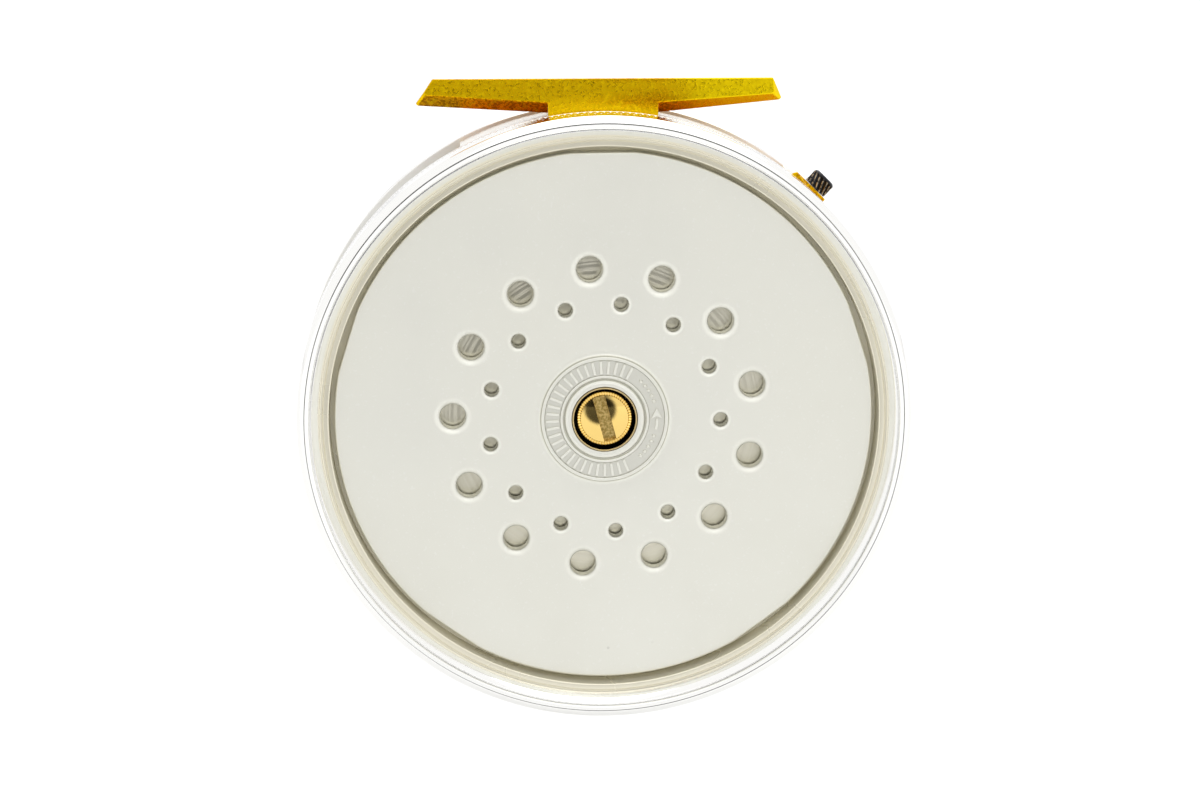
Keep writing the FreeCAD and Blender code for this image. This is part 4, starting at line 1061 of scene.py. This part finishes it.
def regulatorBlock():
    s = strapShape
    mesh = ringSector(s["inner"], s["outer"], s["from"], s["split"], frontBottom, rimBottom, 0.2)
    left, foot, top = -s["padLeft"], s["padFoot"], s["padTop"]
    corner = [(left + 0.4, top), (left, top - 0.6)]
    pad = prism([(left, foot), (s["padRight"], foot), (s["padRight"], top)] + corner, frontBottom, 0,
                bevel=0.2)
    ramp = prism([(left, foot), (s["rampRight"], foot), (s["rampRight"], s["rampTop"])] + corner, -0.4,
                 rimBottom,
                 bevel=0.15)
    for part in (ramp, pad):
        addPart(mesh, part, Matrix.Rotation(math.radians(regulatorAngle - 90), 4, "Z"))
    finishPiece("gold_regulator_block", mesh, goldAnodised, "frame",
                ["regulator_block"], sharp=30)


reelFoot()
saddle()
regulatorBlock()
print("foot and strap made")


# regulator: local z of these pieces is the radius at the regulator's angle
regulatorPlace = (Matrix.Rotation(math.radians(regulatorAngle - 90), 4, "Z")
                  @ Matrix.Translation((0, 0, regulatorDepth)) @ Matrix.Rotation(-math.pi / 2, 4, "X"))
nutShape = {"radius": 2.1, "bore": 0.97, "low": 51.36, "high": 54.0, "cap": 0.45, "strands": 15,
            "twist": 0.5,
            "depth": 0.26}


def regulatorNut():
    s = nutShape
    mesh = bmesh.new()
    layer = mesh.verts.layers.float.new("ridge")
    around, rows = 320, 30
    rings, depths = [], []
    for row in range(rows + 1):
        height = row / rows
        z = s["low"] + (s["high"] - s["low"] - s["cap"]) * height
        ring = []
        for step in range(around):
            angle = 2 * math.pi * step / around
            phase = s["strands"] * (angle + s["twist"] * height)
            wave = abs(math.cos(phase / 2))
            fade = min(1.0, height * 8, (1 - height) * 10 + 0.15)
            radius = s["radius"] - s["depth"] * (1 - wave ** 1.6) * fade
            vert = mesh.verts.new((radius * math.cos(angle), radius * math.sin(angle), z))
            vert[layer] = wave
            ring.append(vert)
        rings.append(ring)
    for radius, z in ((s["radius"] - 0.16, s["high"] - 0.22), (s["radius"] - 0.42, s["high"] - 0.06),
                      (s["radius"] - 0.7, s["high"]), (s["bore"] + 0.08, s["high"]),
                      (s["bore"], s["high"] - 0.1),
                      (s["bore"], s["low"]), (s["radius"] - 0.3, s["low"])):
        rings.append([mesh.verts.new((x, y, z)) for x, y in circlePoints(0, 0, radius, around)])
    for one, two in zip(rings, rings[1:] + rings[:1]):
        for step in range(around):
            onward = (step + 1) % around
            mesh.faces.new((one[step], one[onward], two[onward], two[step]))
    bmesh.ops.recalc_face_normals(mesh, faces=mesh.faces)
    finishPiece("grooved_lock_nut", mesh, blackNut, "regulator", ["regulator_nut"],
                place=regulatorPlace, sharp=50)


regulatorNut()
print("regulator made")


# centre of the back: brass bush and retaining screw

def retainingScrew():
    # a low dome inside a beaded border, on a plain shank, with a wide slot
    s = screwHead
    low, top = depthRange("retaining_screw")
    face = top - s["dome"] + 0.15
    under = plateFace - 2.5
    rounds = 10
    profile = [(s["border"] * k / rounds, top - s["dome"] * (k / rounds) ** 2) for k in range(rounds + 1)]
    profile += [(s["border"] + 0.06, face - 0.22), (s["border"] + 0.12, face - 0.12),
                (s["radius"] - 0.28, face - 0.05), (s["radius"] - 0.08, face - 0.16),
                (s["radius"], face - 0.36),
                (s["radius"], under), (s["shank"], under), (s["shank"], low), (0, low)]
    mesh = latheMesh(profile, s["beads"] * 6, closed=False)
    for vert in mesh.verts:
        radius = math.hypot(vert.co.x, vert.co.y)
        if s["border"] + 0.1 < radius < s["radius"] - 0.05 and vert.co.z > face - 0.3:
            angle = math.atan2(vert.co.y, vert.co.x)
            vert.co.z -= s["beadDepth"] * (0.5 + 0.5 * math.cos(angle * s["beads"]))
    piece = finishPiece("slotted_retaining_screw", mesh, screwBrass, "drum",
                        ["retaining_screw"], weighted=False)
    ends = [math.degrees(math.asin(s["slot"] / 2 / s["border"])) * (1 - k / 4) for k in range(9)]
    reach = s["border"] - 0.04
    outline = [polar(reach, middle - turn) for middle in (90, 270) for turn in ends]
    cutter = bmesh.new()
    addPart(cutter, prism(outline, slotFloor, top + 1), Matrix.Rotation(math.radians(s["turn"]), 4, "Z"))
    cutPiece(piece, cutter)


def bearingHousing():
    low, high = depthRange("bearing_housing")
    profile = softProfile([
        (5.15, plateUnder - 0.6, 0.05), (5.15, high, 0.06), (5.38, high, 0.08), (5.38, plateUnder, 0.02),
        (12.6, plateUnder, 0.05), (12.6, plateUnder - 1.2, 0.15), (8.0, plateUnder - 1.2, 0.3),
        (8.0, low, 0.25),
        (6.5, low, 0.1), (6.5, plateUnder - 0.6, 0.05)], steps=3)
    finishPiece("turned_bearing_housing", latheMesh(profile, 128), bushBrass, "frame",
                ["bearing_housing"])


retainingScrew()
bearingHousing()
print("centre made")


# drum, winding plate and handle

def drumShell():
    low = flangeTop - 1.2
    profile = softProfile([
        (8.6, low, 0.1), (16.8, low, 0.3), (16.8, drumEnd, 0.1), (19.2, drumEnd, 0.15), (19.2, low, 0.9),
        (drumRadius, low, 0.3), (drumRadius, flangeTop, 0.3), (28.2, flangeTop, 0.1), (28.2, coverTop, 0.2),
        (14.5, coverTop, 0.2), (14.5, flangeTop, 0.1), (8.6, flangeTop, 0.1)], steps=4)
    finishPiece("turned_drum", latheMesh(profile, 256), drumSilver, "drum", ["drum"])


windingShape = {"largeCircle": 26.7, "smallCircle": 32.2, "largeRadius": 2.1, "smallRadius": 1.175,
                "holes": 13,
                "screwRadius": 1.5, "screwHead": 0.8, "grooves": (43.0, 13.0)}
# (count, circle) of the screws into the drum and into the spindle
drumScrews, spindleScrews = (6, 18.0), (4, 5.6)


def ringSpots(count, circle, start=0.0):
    return [polar(circle, 360 / count * (k + start)) for k in range(count)]


def windingPlate():
    s = windingShape
    grooves = []
    for radius in s["grooves"]:
        grooves += [(radius + 0.2, windingFace, 0.1), (radius, windingFace + 0.15, 0.05),
                    (radius - 0.2, windingFace, 0.1)]
    profile = softProfile([(0.75, windingInner, 0.05), (windingRadius, windingInner, 0.2),
                           (windingRadius, windingFace, 0.35)] + grooves + [(0.75, windingFace, 0.1)],
                           steps=4)
    plate = finishPiece("turned_winding_plate", latheMesh(profile, 256), drumSilver, "drum",
                        ["winding_plate"], weighted=False)
    cutter = bmesh.new()
    through, seat = windingInner + 1, windingFace + s["screwHead"]
    for spots, radius, deep in ((ringSpots(s["holes"], s["largeCircle"]), s["largeRadius"], through),
                                (ringSpots(s["holes"], s["smallCircle"], 0.5), s["smallRadius"], through),
                                (ringSpots(*drumScrews), s["screwRadius"] + 0.05, seat),
                                (ringSpots(*spindleScrews), s["screwRadius"] + 0.05, seat)):
        bore = softProfile([
            (0, windingFace - 1, 0), (radius + 0.35, windingFace - 1, 0),
            (radius + 0.35, windingFace - 0.01, 0),
            (radius, windingFace + 0.3, 0.3), (radius, deep, 0), (0, deep, 0)], steps=3, closed=False)
        for x, y in spots:
            addPart(cutter, latheMesh(bore, 40, closed=False), Matrix.Translation((x, y, 0)))
    cutPiece(plate, cutter)


def drumPlateScrews():
    s = windingShape
    for name, node, spots, deep, seed in (
            ("slotted_drum_screws", "drum_screws", ringSpots(*drumScrews), drumEnd + 3.5, 5),
            ("slotted_spindle_screws", "spindle_screws", ringSpots(*spindleScrews), drumEnd + 1.4, 7)):
        smallScrews(name, node, spots, s["screwRadius"], windingFace, windingFace + s["screwHead"],
                    deep, "drum",
                    seed)


def handle():
    low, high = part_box("handle_grip")
    middle = (low + high) / 2 / mm
    place = Matrix.Translation((middle.x, middle.z + seatHeight, 0))
    end, root = depthRange("handle_grip")
    grip = softProfile([
        (1.66, root, 0), (4.2, root, 0.1), (4.6, root - 0.4, 0.25), (4.6, root - 1.6, 0.35),
        (3.75, root - 2.9, 0.8), (3.75, root - 4.2, 2.0), (4.6, root - 10.5, 12.0), (5.38, end + 5.0, 9.0),
        (5.38, end + 1.6, 1.6), (4.5, end, 1.1), (2.75, end, 0.25), (2.7, end + 2.3, 0.1),
        (1.66, end + 2.3, 0)],
        steps=8)
    finishPiece("turned_handle_grip", latheMesh(grip, 128), handleEbonite, "grip",
                ["handle_grip"],
                place=place)
    end, root = depthRange("handle_spindle")
    pin = softProfile([
        (0, end, 0), (2.1, end, 0.4), (2.6, end + 0.5, 0.3), (2.6, end + 1.7, 0.1), (1.6, end + 1.7, 0.05),
        (1.6, root, 0.05), (0, root, 0)], steps=4, closed=False)
    piece = finishPiece("brass_handle_pin", latheMesh(pin, 64, closed=False), bushBrass, "drum",
                        ["handle_spindle"], place=place, weighted=False)
    cutter = bmesh.new()
    addPart(cutter, slab(0.35, 3, end - 1, end + 0.6), place @ Matrix.Rotation(0.6, 4, "Z"))
    cutPiece(piece, cutter)
    end, root = depthRange("handle_washer")
    washer = softProfile([(1.6, end, 0.05), (5.2, end, 0.2), (5.2, root, 0.05), (1.6, root, 0.05)], steps=3)
    finishPiece("brass_handle_washer", latheMesh(washer, 96), bushBrass, "drum",
                ["handle_washer"], place=place)


drumShell()
windingPlate()
handle()
drumPlateScrews()
print("drum and handle made")


# finishes of the CAD parts that stay as they are

carriedFinish = {
    "turned_brass": bushBrass, "bearing_steel": raceSteel, "steel_screw": plainSteel,
    "spring_steel": springSteel,
    "polished_rim": rimBright, "satin_plate": plateSatin, "drum_silver": drumSilver,
    "gold_anodised": goldAnodised,
    "polished_brass": screwBrass, "black_nut": blackNut, "handle_black": handleEbonite}
for part in frame["record"]["subparts"]:
    carried = nodes[part["node"]]
    carried.data.materials.clear()
    carried.data.materials.append(carriedFinish[part["material_slot"]])
print("carried parts finished")


# stage, light and camera

studio = {"floorDrop": 0.045, "floorSize": 6.0, "floorTone": 0.93, "white": 1.04, "front": 0.02,
          "shadeAcross": 0.25, "shadeUp": 0.23, "shadeAimAcross": -0.015, "shadeAimUp": -0.08,
          "lowShade": 0.82,
          "sunStrength": 1.1, "sunWidth": 60, "sunTilt": (-18, 8), "lampPlace": (0.04, -0.30, 0.20),
          "lampSize": 0.30, "lampPower": 0.16}
camera = {"azimuth": -3.0, "elevation": 12.3, "distance": 0.455, "lens": 82.17, "aimRight": -0.00077,
          "aimUp": 0.00337}


def makeRoomShade():
    # how bright the room looks in a direction: white, with a dark patch in front where the camera stands
    group, start, end = newGroup("roomShade", [("Direction", "NodeSocketVector", (0, 0, 0))],
                                 [("Shade", "NodeSocketFloat")])
    apart = addNode(group, "ShaderNodeSeparateXYZ")
    group.links.new(start.outputs["Direction"], apart.inputs[0])
    ahead = mathNode(group, "MAXIMUM", times(group, apart.outputs["Y"], -1.0), 0.001)
    parts = []
    for axis, aim, width in (("X", "shadeAimAcross", "shadeAcross"), ("Z", "shadeAimUp", "shadeUp")):
        slope = mathNode(group, "DIVIDE", apart.outputs[axis], ahead)
        away = mathNode(group, "DIVIDE", mathNode(group, "SUBTRACT", slope, studio[aim]), studio[width])
        parts.append(times(group, away, away))
    away = mathNode(group, "SQRT", mathNode(group, "ADD", *parts))
    core = rampNode(group, away, 0.85, 1.15, studio["front"], 1.0)
    rise = mathNode(group, "DIVIDE", apart.outputs["Z"], ahead)
    low = rampNode(group, rise, 0.05, -0.45, 1.0, studio["lowShade"])
    group.links.new(times(group, core, low), end.inputs["Shade"])
    return group


roomShade = makeRoomShade()


def roomTone(tree, direction):
    # reflections see the room's shade, and the camera sees the room without it
    shade = addNode(tree, "ShaderNodeGroup", node_tree=roomShade)
    tree.links.new(direction, shade.inputs["Direction"])
    ray = addNode(tree, "ShaderNodeLightPath")
    return mathNode(tree, "MAXIMUM", shade.outputs["Shade"], ray.outputs["Is Camera Ray"])


def makeFloor():
    # pale floor painted with the room's shade where reflections see it; the camera sees it pale
    data = bpy.data.meshes.new("floor")
    half = studio["floorSize"] / 2
    level = cadBox[0][2] - studio["floorDrop"]
    corners = [(-half, -half, level), (half, -half, level), (half, half, level), (-half, half, level)]
    data.from_pydata(corners, [], [(0, 1, 2, 3)])
    floor = bpy.data.objects.new("floor", data)
    scene.collection.objects.link(floor)
    finish = {"colour": (studio["floorTone"],) * 3, "roughness": 0.9}
    material, tree, shader = newFinish("paleFloor", finish, metallic=0.0)
    where = addNode(tree, "ShaderNodeTexCoord")
    fromReel = addNode(tree, "ShaderNodeVectorMath", operation="SUBTRACT")
    tree.links.new(where.outputs["Object"], fromReel.inputs[0])
    fromReel.inputs[1].default_value = spindleCentre
    tone = roomTone(tree, fromReel.outputs[0])
    tree.links.new(times(tree, tone, studio["floorTone"]), shader.inputs["Base Color"])
    data.materials.append(material)


def addLight(name, kind, strength):
    data = bpy.data.lights.new(name, kind)
    data.energy = strength
    lamp = bpy.data.objects.new(name, data)
    scene.collection.objects.link(lamp)
    return data, lamp


def makeStudio():
    # a white room whose front is in shade, so that bright metal shows its shape
    world = bpy.data.worlds.new("whiteStudio")
    scene.world = world
    world.use_nodes = True
    tree = world.node_tree
    back = tree.nodes["Background"]
    back.inputs["Color"].default_value = (1.0, 1.0, 1.0, 1)
    where = addNode(tree, "ShaderNodeTexCoord")
    tone = roomTone(tree, where.outputs["Generated"])
    tree.links.new(times(tree, tone, studio["white"]), back.inputs["Strength"])
    sun, lamp = addLight("sky", "SUN", studio["sunStrength"])
    sun.angle = math.radians(studio["sunWidth"])
    lamp.rotation_euler = (*(math.radians(tilt) for tilt in studio["sunTilt"]), 0)
    soft, lamp = addLight("upperFront", "AREA", studio["lampPower"])
    soft.size = studio["lampSize"]
    lamp.location = studio["lampPlace"]
    lamp.rotation_euler = (Vector(spindleCentre) - lamp.location).to_track_quat("-Z", "Y").to_euler()
    scene.view_settings.view_transform = "Standard"


def makeCamera():
    c = camera
    turn, lift = math.radians(c["azimuth"]), math.radians(c["elevation"])
    away = Vector((math.sin(turn) * math.cos(lift), -math.cos(turn) * math.cos(lift), math.sin(lift)))
    target = Vector((0, -plateFace * mm, -seatHeight * mm))
    data = bpy.data.cameras.new("camera")
    data.lens = c["lens"]
    data.clip_start = 0.01
    eye = bpy.data.objects.new("camera", data)
    scene.collection.objects.link(eye)
    eye.rotation_euler = (-away).to_track_quat("-Z", "Y").to_euler()
    side = eye.rotation_euler.to_matrix() @ Vector((1, 0, 0))
    up = eye.rotation_euler.to_matrix() @ Vector((0, 1, 0))
    eye.location = target + side * c["aimRight"] + up * c["aimUp"] + away * c["distance"]
    scene.camera = eye


makeFloor()
makeStudio()
makeCamera()
print("stage, light and camera made")
